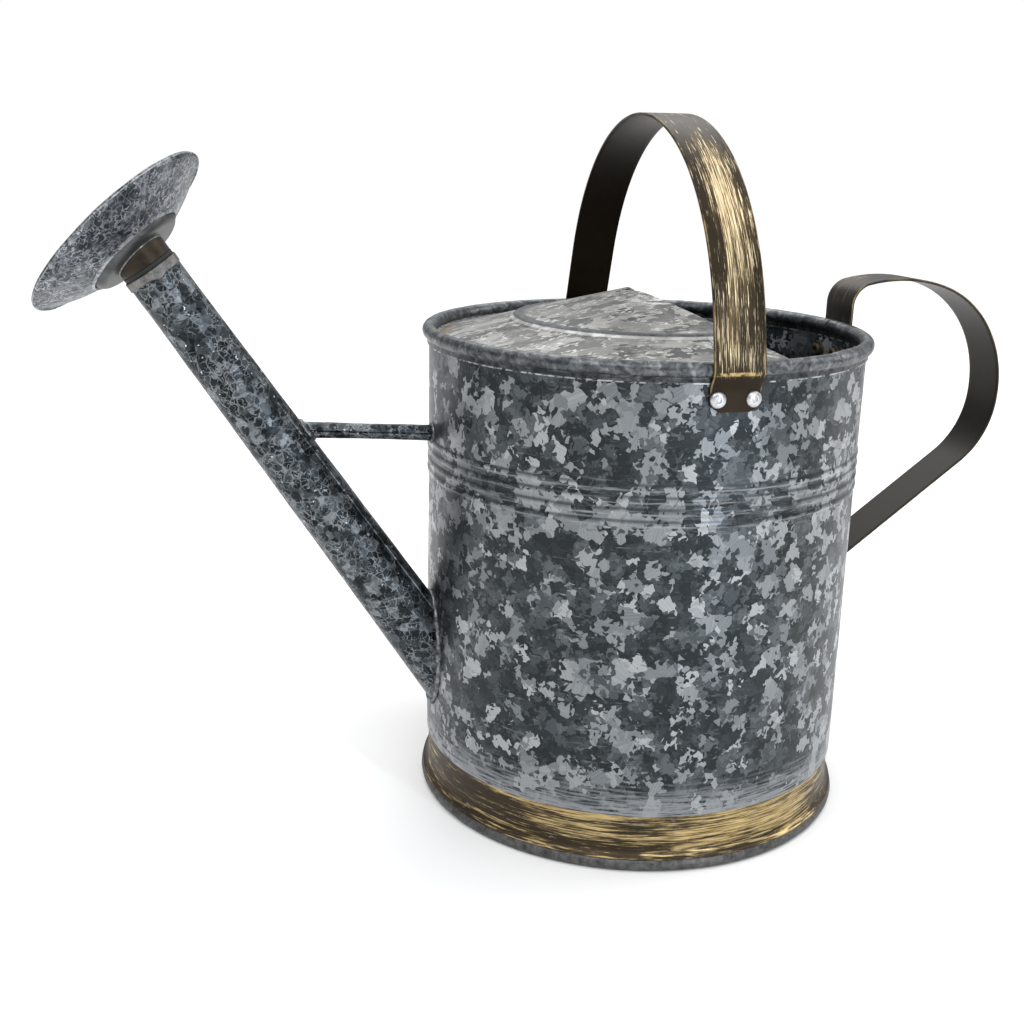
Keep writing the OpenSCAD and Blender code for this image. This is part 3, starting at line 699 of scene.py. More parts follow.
# Shallow dents in the wall, the lap seam, and the bead's uneven end
def shapeBody(point, angle):
    flat = Vector((point.x, point.y))
    radius = flat.length
    height = point.z
    nearBead = smoothStep(rimZ - 8 * mm, rimZ - 4 * mm, height)
    nearEdge = 1 - smoothStep(bodyZ0, bodyZ0 + 12 * mm, height)
    calm = (1 - nearBead) * (1 - nearEdge)
    out = bodySheet["dent"] * noise.noise(point / bodySheet["dentSize"]) * calm
    gap = (angle - seamTurn + 180) % 360 - 180
    halfSeam = degrees(bodySheet["seamWidth"] / 2 / bodyR)
    if radius > bodyR - 0.2 * mm and height < rimZ - beadR - 1.2 * mm:
        lap = smoothStep(-halfSeam - 0.12, -halfSeam + 0.12, gap)
        lap -= smoothStep(halfSeam * 0.2, halfSeam + 0.12, gap)
        out += bodySheet["seamStep"] * lap
    onBead = smoothStep(rimZ - beadR + 0.1 * mm, rimZ - beadR + 0.5 * mm, height)
    middle = Vector((bodyR, rimZ))
    arm = Vector((radius, height)) - middle
    stepTurn = (angle - bodySheet["beadStep"] + 180) % 360 - 180
    grow = bodySheet["beadStepSize"] * smoothStep(-0.3, 0.3, stepTurn)
    grow *= 1 - smoothStep(6, 30, stepTurn)
    grow += bodySheet["beadWobble"] * noise.noise(Vector((point.x, point.y, 0)) / (9 * mm))
    slot = 1 - smoothStep(bodySheet["beadGap"] * 0.6, bodySheet["beadGap"], abs(gap))
    arm *= 1 + onBead * (grow - 0.35 * slot)
    radius, height = middle.x + arm.x, middle.y + arm.y
    if flat.length:
        flat.normalize()
    flat *= radius + out
    return Vector((flat.x, flat.y, height))


def makeBody():
    line = [(innerR + sheet / 2 + swageBulge(z), z) for z in wallHeights()]
    line += arc((bodyR, rimZ), beadR - sheet / 2, -99, -441, 9)
    hem = bodyR + sheet / 2 + 0.05 * mm
    line += [(hem, rimZ - beadR - 0.3 * mm), (hem, rimZ - bodySheet["hemDrop"])]
    halfSeam = degrees(bodySheet["seamWidth"] / 2 / bodyR)
    extra = [seamTurn + o for edge in (-halfSeam, halfSeam, 0) for o in
             (edge - 0.5, edge - 0.3, edge - 0.12, edge, edge + 0.12, edge + 0.3, edge + 0.5)]
    extra += [bodySheet["beadStep"] + o for o in (-0.3, 0, 0.3)]
    angles = sorted(set(round(a % 360, 4) for a in [360 * i / 288 for i in range(288)] + extra))
    body = lathe("bodySheet", walled(line, sheet), azimuths=angles, change=shapeBody, sharp=50)
    hole = spoutBase["radius"] - sheet
    bm = bmesh.new()
    start, end = spoutAt(-28 * mm), spoutAt(24 * mm)
    tube(bm, [start, end], [hole, hole], closed=False, sides=64)
    cut(body, objectFrom("spoutHole", bm))
    finishPiece(body, "can", "body", "galvanised_body", "body_shell")


coverForm = dict(slope=0.265, tip=11.5 * mm, half=58.5, ring=57 * mm, ringWidth=2.2 * mm,
                 ringHeight=1.05 * mm, edge=3 * mm, ringDip=0.35 * mm)


def makeCover():
    radius = innerR - play
    edgeZ = rimZ - beadR - 0.5 * mm
    apexZ = edgeZ + coverForm["slope"] * radius

    def top(r):
        off = (r - coverForm["ring"]) / coverForm["ringWidth"]
        ridge = coverForm["ringHeight"] * exp(-off * off * 1.6)
        dip = coverForm["ringDip"] * exp(-((off - 1.7) ** 2) * 3)
        return apexZ - coverForm["slope"] * r + ridge - dip

    low, high = coverForm["ring"] - 7 * mm, coverForm["ring"] + 8 * mm
    radii = evenly(0, low, 14) + evenly(low, high, 36)[1:]
    radii += evenly(high, radius - 0.6 * mm, 10)[1:]
    line = [(r, top(r) - sheet / 2) for r in radii]
    line += [(radius - sheet / 2, edgeZ - drop) for drop in (1 * mm, coverForm["edge"])]
    outline = walled(line, sheet)
    outline = [(0, outline[0][1])] + outline[1:-1] + [(0, outline[-1][1])]
    cover = lathe("splashCover", outline, turns=192, sharp=40)
    bm = bmesh.new()
    half, reach = radians(coverForm["half"]), 0.3
    corners = [(0, 0), (reach * cos(half), -reach * sin(half)),
               (reach * 2, -reach * sin(half)), (reach * 2, reach * sin(half)),
               (reach * cos(half), reach * sin(half))]
    rows = [[Vector((x - coverForm["tip"], y, z)) for x, y in corners] for z in (0.1, 0.4)]
    skin(bm, rows, capped=True)
    cut(cover, objectFrom("opening", bm))
    smoothed(cover.data, 40)
    finishPiece(cover, "can", "cover", "galvanised_cover", "splash_cover")


footForm = dict(roll=3.1 * mm, inset=0.6 * mm, lap=8 * mm, lip=2.6 * mm)


def makeFoot():
    roll = footForm["roll"]
    middle = (bodyR - footForm["inset"], roll)
    outline = [(0, 0)] + [(r, 0) for r in evenly(20 * mm, 90 * mm, 5)]
    outline += arc(middle, roll, -90, 205, 9)
    outline += [(r, sheet) for r in evenly(90 * mm, 20 * mm, 5)] + [(0, sheet)]
    plate = lathe("bottomPlate", outline, turns=224, change=lambda p, a: p + ripple(p, 0.08 * mm))
    finishPiece(plate, "can", "foot", "galvanised_dull", "bottom_plate")
    inside = innerR - sheet - play
    outside = innerR - play
    reach = innerR + footForm["lip"]
    band = [(inside, roll + 0.2 * mm), (inside, bodyZ0 + footForm["lap"]),
            (outside, bodyZ0 + footForm["lap"])]
    band += [(outside + 0.25 * mm * smoothStep(bodyZ0, 2 * roll, z), z)
             for z in evenly(bodyZ0 + 1 * mm, 2 * roll + 4.5 * mm, 14)]
    flare = [(outside + (reach - outside) * t ** 1.8, 2 * roll + 4.2 * mm * (1 - t) ** 1.2)
             for t in evenly(0.12, 1, 10)]
    band += flare + [(reach + 0.1 * mm, 2 * roll - 0.45 * mm),
                     (reach - 0.5 * mm, 2 * roll - 0.9 * mm),
                     (outside, 2 * roll - 2.2 * mm), (outside, roll + 0.2 * mm)]
    ring = lathe("baseBand", band, turns=224, change=lambda p, a: p + ripple(p, 0.05 * mm))
    finishPiece(ring, "can", "band", "brushed_band", "base_band")


# A small unevenness in a sheet's own plane, away from the axis
def ripple(point, amount):
    flat = Vector((point.x, point.y, 0))
    if flat.length < 60 * mm:
        return Vector()
    return flat.normalized() * amount * noise.noise(point / (11 * mm))


spoutBase = dict(radius=14.3 * mm, socket=10.35 * mm, socketLen=17 * mm, seamTurn=-30,
                 seamHeight=0.4 * mm, seamWidth=9, collarLen=4 * mm, collarWall=0.5 * mm,
                 wobble=0.12 * mm, wobbleSize=13 * mm)
spoutFrame = Matrix.Translation(mouth) @ Matrix.Rotation(spoutTilt - pi / 2, 4, "Y")
mouthR = spoutBase["socket"] + sheet


# The spout's axis runs from 0 at the body to spoutLen at the mouth
def spoutAt(s):
    return mouth + spoutAxis * (s - spoutLen)


def spoutRadius(s):
    straight = spoutLen - spoutBase["socketLen"]
    return mouthR + max(straight - s, 0) / straight * (spoutBase["radius"] - mouthR)


def spoutPoint(s, turn, inward=0):
    r = spoutRadius(s) - inward
    return spoutFrame @ polar(r, turn, s - spoutLen)


# How far along the spout one of its lines leaves the body
def spoutFoot(turn, inward=0, radius=None):
    def outside(s):
        p = spoutPoint(s, turn, inward)
        return hypot(p.x, p.y) - (radius or bodyR)
    return solved(outside, -40 * mm, 60 * mm)


def seamRidge(turn):
    off = (degrees(turn) - spoutBase["seamTurn"] + 180) % 360 - 180
    lap = smoothStep(-spoutBase["seamWidth"], -spoutBase["seamWidth"] + 2, off)
    return spoutBase["seamHeight"] * lap * (1 - smoothStep(0, 40, off))


def makeSpout():
    bm = bmesh.new()
    rows = []
    turns = sorted(set([round(3 * i, 3) for i in range(120)]
                       + [(spoutBase["seamTurn"] - spoutBase["seamWidth"] + o) % 360
                          for o in (-0.5, 0.5, 1.0, 1.5, 2.5)]))
    for angle in turns:
        turn = radians(angle)
        low, lowIn = (spoutFoot(turn, inward, bodyR - 0.25 * mm) for inward in (0, sheet))
        row = []
        for k in evenly(0, 1, 56):
            s = low + (spoutLen - 0.3 * mm - low) * k
            fade = 1 - smoothStep(spoutLen - 9 * mm, spoutLen - 5 * mm, s)
            p = spoutPoint(s, turn, -seamRidge(turn) * fade)
            away = (p - spoutAt(s)).normalized()
            row.append(p + away * spoutBase["wobble"] * noise.noise(p / spoutBase["wobbleSize"]))
        row += [spoutPoint(spoutLen, turn, inward) for inward in (0.3 * mm, sheet)]
        row += [spoutPoint(lowIn + (spoutLen - lowIn) * k, turn, sheet)
                for k in evenly(0.97, 0, 14)]
        rows.append(row)
    skin(bm, rows, closeRows=True)
    spout = objectFrom("spoutTube", bm, 50)
    finishPiece(spout, "can", "spout", "galvanised_spout", "spout_tube")


def makeMouthCollar():
    outer = mouthR + spoutBase["collarWall"]
    length = spoutBase["collarLen"]
    inner = spoutBase["socket"] + play
    line = [(inner, 0)] + arc((outer - 0.45 * mm, -0.45 * mm), 0.45 * mm, 90, 0, 18)
    line += [(outer, -length * k) for k in (0.3, 0.6, 0.9)]
    line += [(mouthR - 0.1 * mm, -length), (mouthR - 0.1 * mm, -sheet), (inner, -sheet)]

    def uneven(point, angle):
        low = smoothStep(-length * 0.55, -length, point.z)
        wander = 1.1 * mm * noise.noise(Vector((radians(angle) * 3.2, 0.4, 0)))
        return point + Vector((0, 0, low * wander))

    collar = lathe("mouthCollar", line, spoutFrame, turns=144, change=uneven)
    finishPiece(collar, "can", "collar", "galvanised_dull", "mouth_collar")


brace = dict(z=167.6 * mm, rise=3.3, radius=3.5 * mm, notch=0.8 * mm, notchTurn=90)
braceTurn = radians(brace["rise"] - 90)
braceFrame = (Matrix.Translation((-bodyR + 6 * mm, 0, brace["z"]))
              @ Matrix.Rotation(braceTurn, 4, "Y"))


def bracePoint(s, turn, radius):
    return braceFrame @ polar(radius, turn, s)


def toSpout(point):
    along = (point - mouth).dot(spoutAxis)
    across = (point - mouth - spoutAxis * along).length
    return across - spoutRadius(spoutLen + along)


def braceEnds(turn, radius):
    body = solved(lambda s: hypot(*bracePoint(s, turn, radius).xy) - bodyR, 0, 30 * mm)
    spout = solved(lambda s: -toSpout(bracePoint(s, turn, radius)), 20 * mm, 70 * mm)
    return body, spout


def makeBrace():
    bm = bmesh.new()
    rows = []
    for i in range(72):
        turn = 2 * pi * i / 72
        off = (degrees(turn) - 360 + brace["notchTurn"] + 180) % 360 - 180
        radius = brace["radius"] - brace["notch"] * exp(-(off / 7) ** 2)
        start, end = braceEnds(turn, radius)
        start, end = start - 0.3 * mm, end + 0.3 * mm
        row = []
        for s in evenly(start, end, 30):
            flat = 1 - 0.06 * sin((s - start) / (end - start) * pi)
            wobble = 0.12 * mm * noise.noise(Vector((s / (9 * mm), turn, 0.7)))
            row.append(bracePoint(s, turn, radius * flat + wobble))
        row += [bracePoint(s, turn, radius - sheet) for s in (end, start)]
        rows.append(row)
    skin(bm, rows, closeRows=True)
    finishPiece(objectFrom("braceTube", bm, 45), "can", "spout", "galvanised_spout", "brace_tube")


solder = dict(spout=1.35 * mm, brace=1.15 * mm, rose=0.45 * mm, uneven=0.64, lump=4 * mm)


# Uneven radii for a bead of solder
def lumpy(path, radius, seed):
    shift = Vector((seed, 0, 0))
    return [radius * (1 + solder["uneven"] * noise.noise(p / solder["lump"] + shift))
            for p in path]


def makeSolder():
    turns = [2 * pi * i / 120 for i in range(120)]
    bm = bmesh.new()
    path = [spoutPoint(spoutFoot(t, -0.2 * mm, bodyR + 0.2 * mm), t, -0.2 * mm) for t in turns]
    tube(bm, path, lumpy(path, solder["spout"], 1.3))
    finishPiece(objectFrom("spoutSolder", bm), "can", "solder", "solder", "spout_solder")
    bm = bmesh.new()
    for end, seed, size in ((0, 2.1, 1.0), (1, 5.7, 1.15)):
        path = [bracePoint(braceEnds(t, brace["radius"])[end], t, brace["radius"])
                for t in turns[::3]]
        tube(bm, path, lumpy(path, solder["brace"] * size, seed))
    finishPiece(objectFrom("braceSolder", bm), "can", "solder", "solder", "brace_solder")


strap = dict(width=21 * mm, thickness=1.2 * mm, corner=4 * mm, edge=0.28 * mm, margin=4.8 * mm)
bail = dict(shift=2.5 * mm, lean=-2 * mm, legNear=14.4 * mm, legFar=30.6 * mm, rivetDrop=11.3 * mm)
grip = dict(radii=(10.5 * mm, 80 * mm, 53 * mm, 40 * mm), turns=(90, 12, -18, -95, -145),
            rise=10 * mm, root=6 * mm, rivetDrop=11.8 * mm, rivetLow=6.5 * mm)
footR = bodyR + play + strap["thickness"]
legY = bodyR + beadR + 0.1 * mm + strap["thickness"] / 2
footY = bodyR + play + strap["thickness"] / 2
slopeZ = rimZ - beadR - 4 * mm


# Rounds the corners of a line of points
def eased(line, radius, steps=5):
    out = [Vector(line[0])]
    for before, here, after in zip(line, line[1:], line[2:]):
        here = Vector(here)
        a, b = Vector(before) - here, Vector(after) - here
        reach = min(radius, a.length * 0.45, b.length * 0.45)
        if a.angle(b) > radians(176):
            out.append(here)
            continue
        p, q = here + a.normalized() * reach, here + b.normalized() * reach
        for t in evenly(0, 1, steps):
            out.append(p * (1 - t) ** 2 + here * 2 * t * (1 - t) + q * t * t)
    return out + [Vector(line[-1])]


def dense(line, step):
    out = [line[0]]
    for a, b in zip(line, line[1:]):
        count = max(1, ceil((b - a).length / step))
        out += [a + (b - a) * i / count for i in range(1, count + 1)]
    return out


# The strap's cross-section, as (across, out) with eased edges
def strapSection():
    half, deep, edge = strap["width"] / 2, strap["thickness"] / 2, strap["edge"]
    across = evenly(-half + edge, half - edge, 14)
    top = [(u, deep) for u in across]
    right = arc((half - edge, deep - edge), edge, 90, 0, 30)[1:]
    right += arc((half - edge, edge - deep), edge, 0, -90, 30)
    bottom = [(u, -deep) for u in across[::-1]][1:]
    left = arc((edge - half, edge - deep), edge, -90, -180, 30)[1:]
    left += arc((edge - half, deep - edge), edge, 180, 90, 30)[:-1]
    return top + right + bottom + left


# Sweeps the strap along a side line of (out from the axis, height)
def makeStrap(name, line, placed, shift, feet):
    line = dense(eased(line, 2.2 * mm), 2.5 * mm)
    side = mitres(line)
    section = strapSection()
    half = strap["width"] / 2
    bm = bmesh.new()
    layer = bm.loops.layers.uv.new("strap")
    rows, marks, run = [], [], 0
    for i, (p, n) in enumerate(zip(line, side)):
        run += (p - line[i - 1]).length if i else 0
        atFoot = abs(abs(p.x) - footY) < 0.8 * mm
        end = min(abs(p.y - foot) for foot in feet) if atFoot else 1
        depth = max(strap["corner"] - end, 0)
        narrow = (half - strap["corner"] + sqrt(strap["corner"] ** 2 - depth ** 2)) / half
        low = 1 - smoothStep(0, 1, (abs(p.x) - footY) / (legY - footY)) if abs(p.x) < legY else 0
        row, mark = [], []
        for u, d in section:
            u *= narrow
            fall = bodyR - sqrt(bodyR ** 2 - (u + shift) ** 2)
            inward = -copysign(fall * low, p.x)
            at = p + n * d
            row.append(placed @ Vector((u, at.x + inward, at.y)))
            mark.append((u + (d < 0), run))
        rows.append(row)
        marks.append(mark)
    skin(bm, rows, capped=True, layer=layer, marks=marks)
    return objectFrom(name, bm, 60)


# One half of the bail, from its top to its foot: an arc, a straight leg and the bent foot
def bailHalf(leg, reach):
    height = bailTop - strap["thickness"] / 2 - creaseZ
    lean = 2 * (degrees(atan((leg + reach) / height)) - 45)
    radius = (reach - leg * sin(radians(lean))) / cos(radians(lean))
    centre = (legY - reach, creaseZ + height - radius)
    low = rimZ - bail["rivetDrop"] - strap["margin"]
    return arc(centre, radius, 90, lean, 2) + [(legY, creaseZ), (footY, slopeZ), (footY, low)]


def makeBail():
    near = bailHalf(bail["legNear"], legY + bail["lean"])
    far = bailHalf(bail["legFar"], legY - bail["lean"])
    line = [(-x, z) for x, z in near[::-1]] + far[1:]
    low = rimZ - bail["rivetDrop"] - strap["margin"]
    placed = Matrix.Translation((bail["shift"], 0, 0))
    made = makeStrap("bailStrap", line, placed, bail["shift"], [low])
    finishPiece(made, "can", "bail", "bronzed_strap", "bail_strap")


gripFootZ = gripLow.z + grip["rivetLow"] + strap["margin"]


def makeGrip():
    low = rimZ - grip["rivetDrop"] - strap["margin"]
    line = [(footY, low), (footY, slopeZ), (legY, creaseZ)]
    p = Vector((legY, rimZ + grip["rise"]))
    for radius, start, end in zip(grip["radii"], grip["turns"], grip["turns"][1:]):
        turn = radians(start)
        centre = p + radius * Vector((sin(turn), -cos(turn)))
        bend = arc(centre, radius, start + 90, end + 90, 3)
        line += bend if len(line) == 3 else bend[1:]
        p = Vector(bend[-1])
    line += arc((footY + grip["root"], gripFootZ), grip["root"], 270 + grip["turns"][-1], 180, 6)
    line += [(footY, gripLow.z)]
    placed = Matrix.Rotation(radians(seamTurn - 90), 4, "Z")
    made = makeStrap("gripStrap", line, placed, 0, [low, gripLow.z])
    finishPiece(made, "can", "grip", "bronzed_strap", "grip_strap")


rivets = dict(radius=3.25 * mm, height=1.5 * mm, gap=14.4 * mm, spin=5, washer=4 * mm)


# Sets one small piece on every point of a mesh, turned to that point's own direction
def scatterTree():
    tree = bpy.data.node_groups.new("setOnPoints", "GeometryNodeTree")
    for name, kind, start in (("Points", "Geometry", None), ("Piece", "Object", None),
                              ("Size", "Float", 1), ("Spread", "Float", 0), ("Seed", "Int", 1),
                              ("Finish", "Material", None)):
        made = tree.interface.new_socket(name, in_out="INPUT", socket_type="NodeSocket" + kind)
        if start is not None:
            made.default_value = start
    tree.interface.new_socket("Set", in_out="OUTPUT", socket_type="NodeSocketGeometry")
    add = tree.nodes.new
    given, result = add("NodeGroupInput"), add("NodeGroupOutput")
    info, named = add("GeometryNodeObjectInfo"), add("GeometryNodeInputNamedAttribute")
    aim, place = add("FunctionNodeAlignRotationToVector"), add("GeometryNodeInstanceOnPoints")
    chance, spin = add("FunctionNodeRandomValue"), add("GeometryNodeRotateInstances")
    grow, size = add("FunctionNodeRandomValue"), add("ShaderNodeMath")
    low, turn = add("ShaderNodeMath"), add("ShaderNodeCombineXYZ")
    real, paint = add("GeometryNodeRealizeInstances"), add("GeometryNodeSetMaterial")
    named.data_type = "FLOAT_VECTOR"
    named.inputs["Name"].default_value = "facing"
    aim.axis = "Z"
    size.operation, low.operation = "MULTIPLY", "SUBTRACT"
    chance.inputs[3].default_value = 2 * pi
    low.inputs[0].default_value = grow.inputs[3].default_value = 1
    for source, output, target, entry in (
            (given, "Piece", info, "Object"), (given, "Points", place, "Points"),
            (info, "Geometry", place, "Instance"), (named, "Attribute", aim, "Vector"),
            (aim, "Rotation", place, "Rotation"), (given, "Seed", chance, "Seed"),
            (given, "Seed", grow, "Seed"), (given, "Spread", low, 1), (low, 0, grow, 2),
            (grow, 1, size, 0), (given, "Size", size, 1), (size, 0, place, "Scale"),
            (chance, 1, turn, "Z"), (turn, 0, spin, "Rotation"),
            (place, "Instances", spin, "Instances"), (spin, "Instances", real, "Geometry"),
            (real, "Geometry", paint, "Geometry"), (given, "Finish", paint, "Material"),
            (paint, "Geometry", result, "Set")):
        tree.links.new(source.outputs[output], target.inputs[entry])
    return tree


scatter = scatterTree()


def scattered(name, points, piece, look, spread=0.0, seed=1):
    mesh = bpy.data.meshes.new(name)
    mesh.from_pydata([p for p, _ in points], [], [])
    facing = mesh.attributes.new("facing", "FLOAT_VECTOR", "POINT")
    for item, (_, direction) in zip(facing.data, points):
        item.vector = direction
    made = bpy.data.objects.new(name, mesh)
    scene.collection.objects.link(made)
    modifier = made.modifiers.new("set", "NODES")
    modifier.node_group = scatter
    wanted = {"Piece": piece, "Size": 1.0, "Spread": spread, "Seed": seed, "Finish": looks[look]}
    for item in scatter.interface.items_tree:
        if item.in_out == "INPUT" and item.name in wanted:
            modifier[item.identifier] = wanted[item.name]
    settle(made, modifier)
    smoothed(made.data, 40)
    bpy.data.objects.remove(piece)
    return made


def headPiece():
    r, h = rivets["radius"], rivets["height"]
    line = [(0, -0.1 * mm), (r * 0.97, -0.1 * mm)] + [
        (r * cos(radians(a)) ** 0.62, h * sin(radians(a)) ** 0.85)
        for a in range(4, 66, 6)]
    line += [(r * 0.42, h * 1.0), (r * 0.36, h * 0.98), (r * 0.33, h * 0.72), (r * 0.28, h * 0.66),
             (r * 0.14, h * 0.74), (0, h * 0.76)]
    return lathe("rivetHead", line, turns=40, sharp=55)


def tailPiece():
    r = rivets["washer"]
    line = [(0, 0), (r, 0)] + arc((r - 0.3 * mm, 0.5 * mm), 0.3 * mm, 0, 90, 30)
    line += [(2.9 * mm, 0.8 * mm)] + arc((1.9 * mm, 1.5 * mm), 1.0 * mm, -20, 90, 22)
    line += [(1.2 * mm, 2.4 * mm), (1.05 * mm, 1.2 * mm), (0, 1.1 * mm)]
    return lathe("rivetTail", line, turns=36, sharp=50)


def aroundBody(turn, z, radius):
    out = polar(1, radians(turn))
    return out * radius + Vector((0, 0, z)), out


def rivetPlaces():
    half = degrees(asin(rivets["gap"] / 2 / bodyR))
    lean = degrees(asin(bail["shift"] / bodyR))
    high = rimZ - bail["rivetDrop"]
    onBail = [(side + s * half, high) for side in (lean - 90, 90 - lean) for s in (-1, 1)]
    heights = (rimZ - grip["rivetDrop"], gripFootZ - grip["rivetLow"])
    onGrip = [(seamTurn + s * half, z) for s in (-1, 1) for z in heights]
    return onBail, onGrip


def makeRivets():
    for handle, spots in zip(("bail", "grip"), rivetPlaces()):
        outside = [aroundBody(turn, z, footR + 0.02 * mm) for turn, z in spots]
        heads = scattered(handle + "RivetHeads", outside, headPiece(), "rivet",
                          seed=rivets["spin"])
        finishPiece(heads, "can", "rivet", "rivet_aluminium", handle + "_rivets",
                    handle + "_rivet_pins")
        inset = bodyR - sqrt(innerR ** 2 - rivets["washer"] ** 2) + 0.1 * mm
        inside = [aroundBody(turn, z, bodyR - inset) for turn, z in spots]
        tails = scattered(handle + "RivetTails", [(p, -out) for p, out in inside], tailPiece(),
                          "washer", seed=rivets["spin"] + 1)
        finishPiece(tails, "can", "washer", "bronzed_washer", handle + "_washers")


rose = dict(radius=43.6 * mm, depth=12.5 * mm, neck=21 * mm, bead=1.3 * mm, tilt=17.5, turn=-57,
            air=0.3 * mm, ring=1.4 * mm, collar=11 * mm, collarMin=0.4 * mm, dome=6 * mm,
            hole=0.8 * mm, pitch=5.2 * mm, rings=7, hollow=1.1 * mm, wobble=0.25 * mm)
roseBack = (2 * rose["air"] + rose["ring"] + rose["collarMin"]
            + rose["collar"] * tan(radians(rose["tilt"])))
roseFrame = (spoutFrame @ Matrix.Translation((0, 0, roseBack))
             @ Matrix.Rotation(radians(rose["turn"]), 4, "Z")
             @ Matrix.Rotation(radians(-rose["tilt"]), 4, "Y"))
neckH = rose["depth"] * 0.3


def makeRose():
    r, h = rose["neck"], neckH
    stem = rose["collar"] - 1 * mm
    flat = evenly(stem + 2 * mm, r - h - 0.2 * mm, 4)
    cup = [(x, sheet / 2) for x in [stem] + flat]
    cup += arc((r - h, h), h - sheet / 2, -80, 0, 8) + [(r - sheet / 2, h + 0.4 * mm)]
    neck = lathe("roseNeck", walled(cup, sheet), roseFrame, turns=160)
    finishPiece(neck, "rose", "dull", "galvanised_dull", "rose_neck")
    rim = rose["radius"] - rose["bead"]
    start, end = (r + play + sheet / 2, h - 1.2 * mm), (rim - 0.1 * mm, rose["depth"] - 0.2 * mm)
    flare = [start]
    for t in evenly(0.06, 1, 18):
        hollow = rose["hollow"] * sin(pi * t)
        flare.append((start[0] + (end[0] - start[0]) * t + 0.5 * hollow,
                      start[1] + 0.6 * mm + (end[1] - start[1] - 0.6 * mm) * t - hollow * 0.35))
    flare += arc((rim, rose["depth"] + rose["bead"] * 0.1), rose["bead"] - 0.35 * mm, -60, 200, 16)
    shell = lathe("roseShell", walled(flare, 0.7 * mm), roseFrame, turns=200, sharp=55,
                  change=lambda p, a: p + Vector((0, 0, rose["wobble"]
                                                  * noise.noise(p / (14 * mm)))))
    finishPiece(shell, "rose", "rose", "galvanised_rose", "rose_shell")
    path = []
    inverse = roseFrame.inverted()
    for turn in (2 * pi * i / 96 for i in range(96)):
        def past(s):
            return (inverse @ (spoutFrame @ polar(rose["collar"], turn, s))).z
        s = solved(past, -20 * mm, 40 * mm)
        path.append(spoutFrame @ polar(rose["collar"], turn, s))
    bm = bmesh.new()
    tube(bm, path, lumpy(path, solder["rose"], 3.3))
    finishPiece(objectFrom("roseSolder", bm), "rose", "solder", "solder", "rose_solder")


# The burrs round the holes that are punched in the domed face
def makeRoseHoles():
    edge = rose["radius"] - 2 * rose["bead"] - 0.7 * mm
    ball = (edge ** 2 + rose["dome"] ** 2) / (2 * rose["dome"])
    rise = rose["depth"] + 0.4 * mm + rose["dome"] - ball
    flat = [(0, 0)] + [(i * rose["pitch"], k * 60 / i + 7 * i)
                       for i in range(1, rose["rings"] + 1) for k in range(6 * i)]
    points = []
    for out, turn in flat:
        turn = radians(turn)
        high = sqrt(ball ** 2 - out ** 2)
        local = polar(out, turn, rise + high)
        facing = Vector((local.x, local.y, high)).normalized()
        points.append((roseFrame @ local, roseFrame.to_3x3() @ facing))
    r = rose["hole"]
    line = [(r * 1.02, -0.3 * mm), (r * 1.05, 0.18 * mm), (r * 1.25, 0.3 * mm),
            (r * 1.55, 0.14 * mm), (r * 1.9, -0.1 * mm)]
    rims = scattered("roseHoleRims", points, lathe("punched", line, turns=12, sharp=80), "rose",
                     spread=0.08, seed=11)
    finishPiece(rims, "rose", "rose", "galvanised_rose")


looks = makeFinishes()
print("finishes made")
makeBody()
makeCover()
makeFoot()
print("body made")
makeSpout()
makeMouthCollar()
makeBrace()
makeSolder()
print("spout made")
makeBail()
makeGrip()
makeRivets()
print("handles made")
makeRose()
makeRoseHoles()
print("rose made")

for node, look in dict(rim_wire="wire", cover_solder="solder", rose_stem="brass",
                       rose_ring="rubber", rose_face="rose").items():
    nodes[node].data.materials.clear()
    nodes[node].data.materials.append(looks[look])


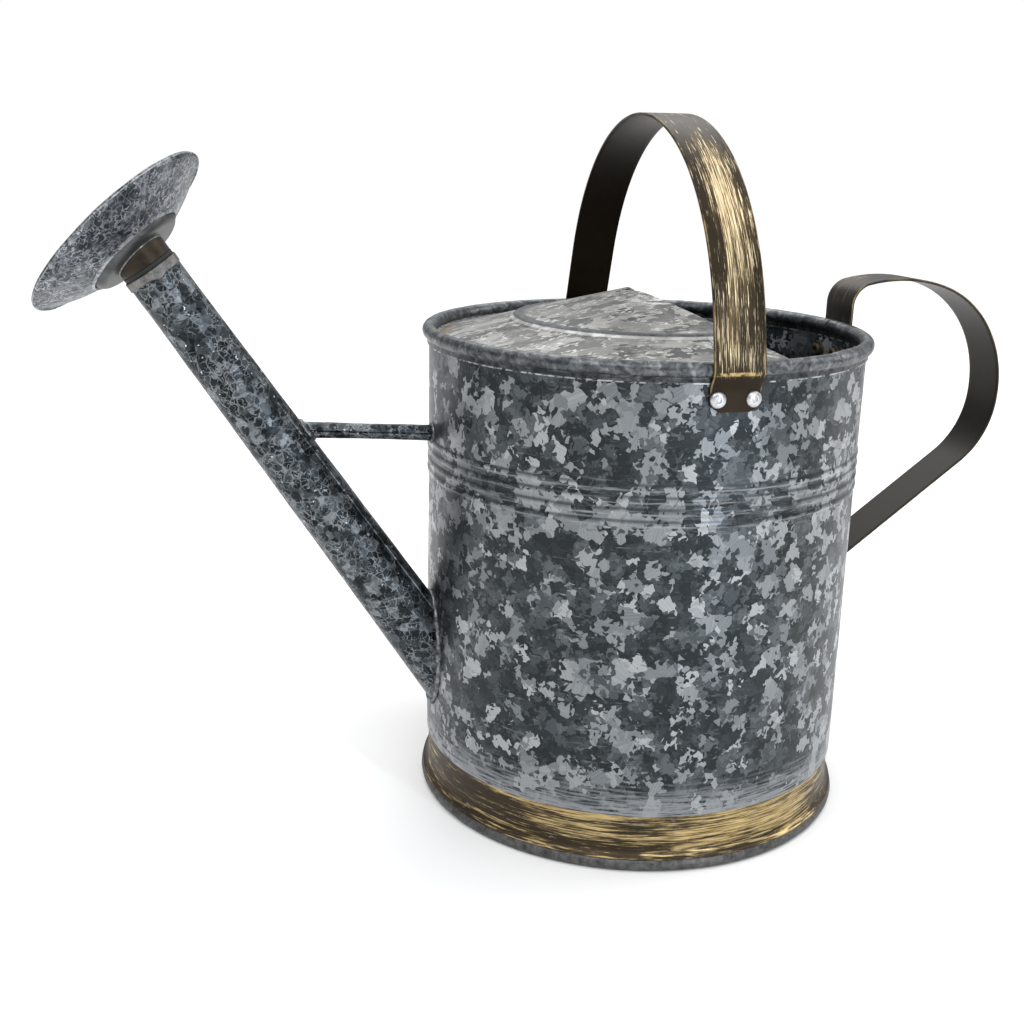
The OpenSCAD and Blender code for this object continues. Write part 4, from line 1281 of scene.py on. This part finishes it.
def makeStage():
    bpy.ops.mesh.primitive_plane_add(size=8)
    floor = bpy.context.object
    floor.name = "floor"
    f = Finish("paleFloor")
    tone = f.cloud(f.place(), 0.4, 2.0)
    floor.data.materials.append(f.finished(f.mix(tone, (0.90, 0.90, 0.90), (0.93, 0.93, 0.93)),
                                           0.85, 0.0))
    f.shader.inputs["Specular IOR Level"].default_value = 0.1


lights = dict(
    key=dict(place=(-0.7, -1.1, 1.5), size=(1.0, 0.8), power=6.4, tint=(1, 1, 1)),
    strip=dict(place=(0.36, -0.95, 0.40), size=(0.06, 0.80), power=3.2, tint=(0.84, 0.91, 1)),
    right=dict(place=(1.3, 0.1, 0.8), size=(0.5, 0.9), power=4.6, tint=(1, 1, 1)),
    back=dict(place=(0.2, 1.2, 1.3), size=(1.2, 0.8), power=6, tint=(1, 1, 1)))


def makeLights():
    world = bpy.data.worlds.new("studio")
    scene.world = world
    world.use_nodes = True
    tree = world.node_tree
    room = tree.nodes["Background"]
    room.inputs["Color"].default_value = (1, 1, 1, 1)
    room.inputs["Strength"].default_value = 0.46
    backdrop = tree.nodes.new("ShaderNodeBackground")
    backdrop.inputs["Color"].default_value = (1, 1, 1, 1)
    seen, mixed = tree.nodes.new("ShaderNodeLightPath"), tree.nodes.new("ShaderNodeMixShader")
    tree.links.new(seen.outputs["Is Camera Ray"], mixed.inputs[0])
    tree.links.new(room.outputs[0], mixed.inputs[1])
    tree.links.new(backdrop.outputs[0], mixed.inputs[2])
    tree.links.new(mixed.outputs[0], tree.nodes["World Output"].inputs["Surface"])
    sky = bpy.data.lights.new("overhead", "SUN")
    sky.energy, sky.angle = 2.2, radians(100)
    scene.collection.objects.link(bpy.data.objects.new("overhead", sky))
    for name, plan in lights.items():
        lamp = bpy.data.lights.new(name, "AREA")
        lamp.shape = "RECTANGLE"
        lamp.size, lamp.size_y = plan["size"]
        lamp.energy = plan["power"]
        lamp.color = plan["tint"]
        held = bpy.data.objects.new(name, lamp)
        held.location = plan["place"]
        aim = Vector((0, 0, 0.12)) - held.location
        held.rotation_euler = aim.to_track_quat("-Z", "Y").to_euler()
        scene.collection.objects.link(held)
    scene.view_settings.view_transform = "Standard"


makeStage()
makeLights()
print("stage made")
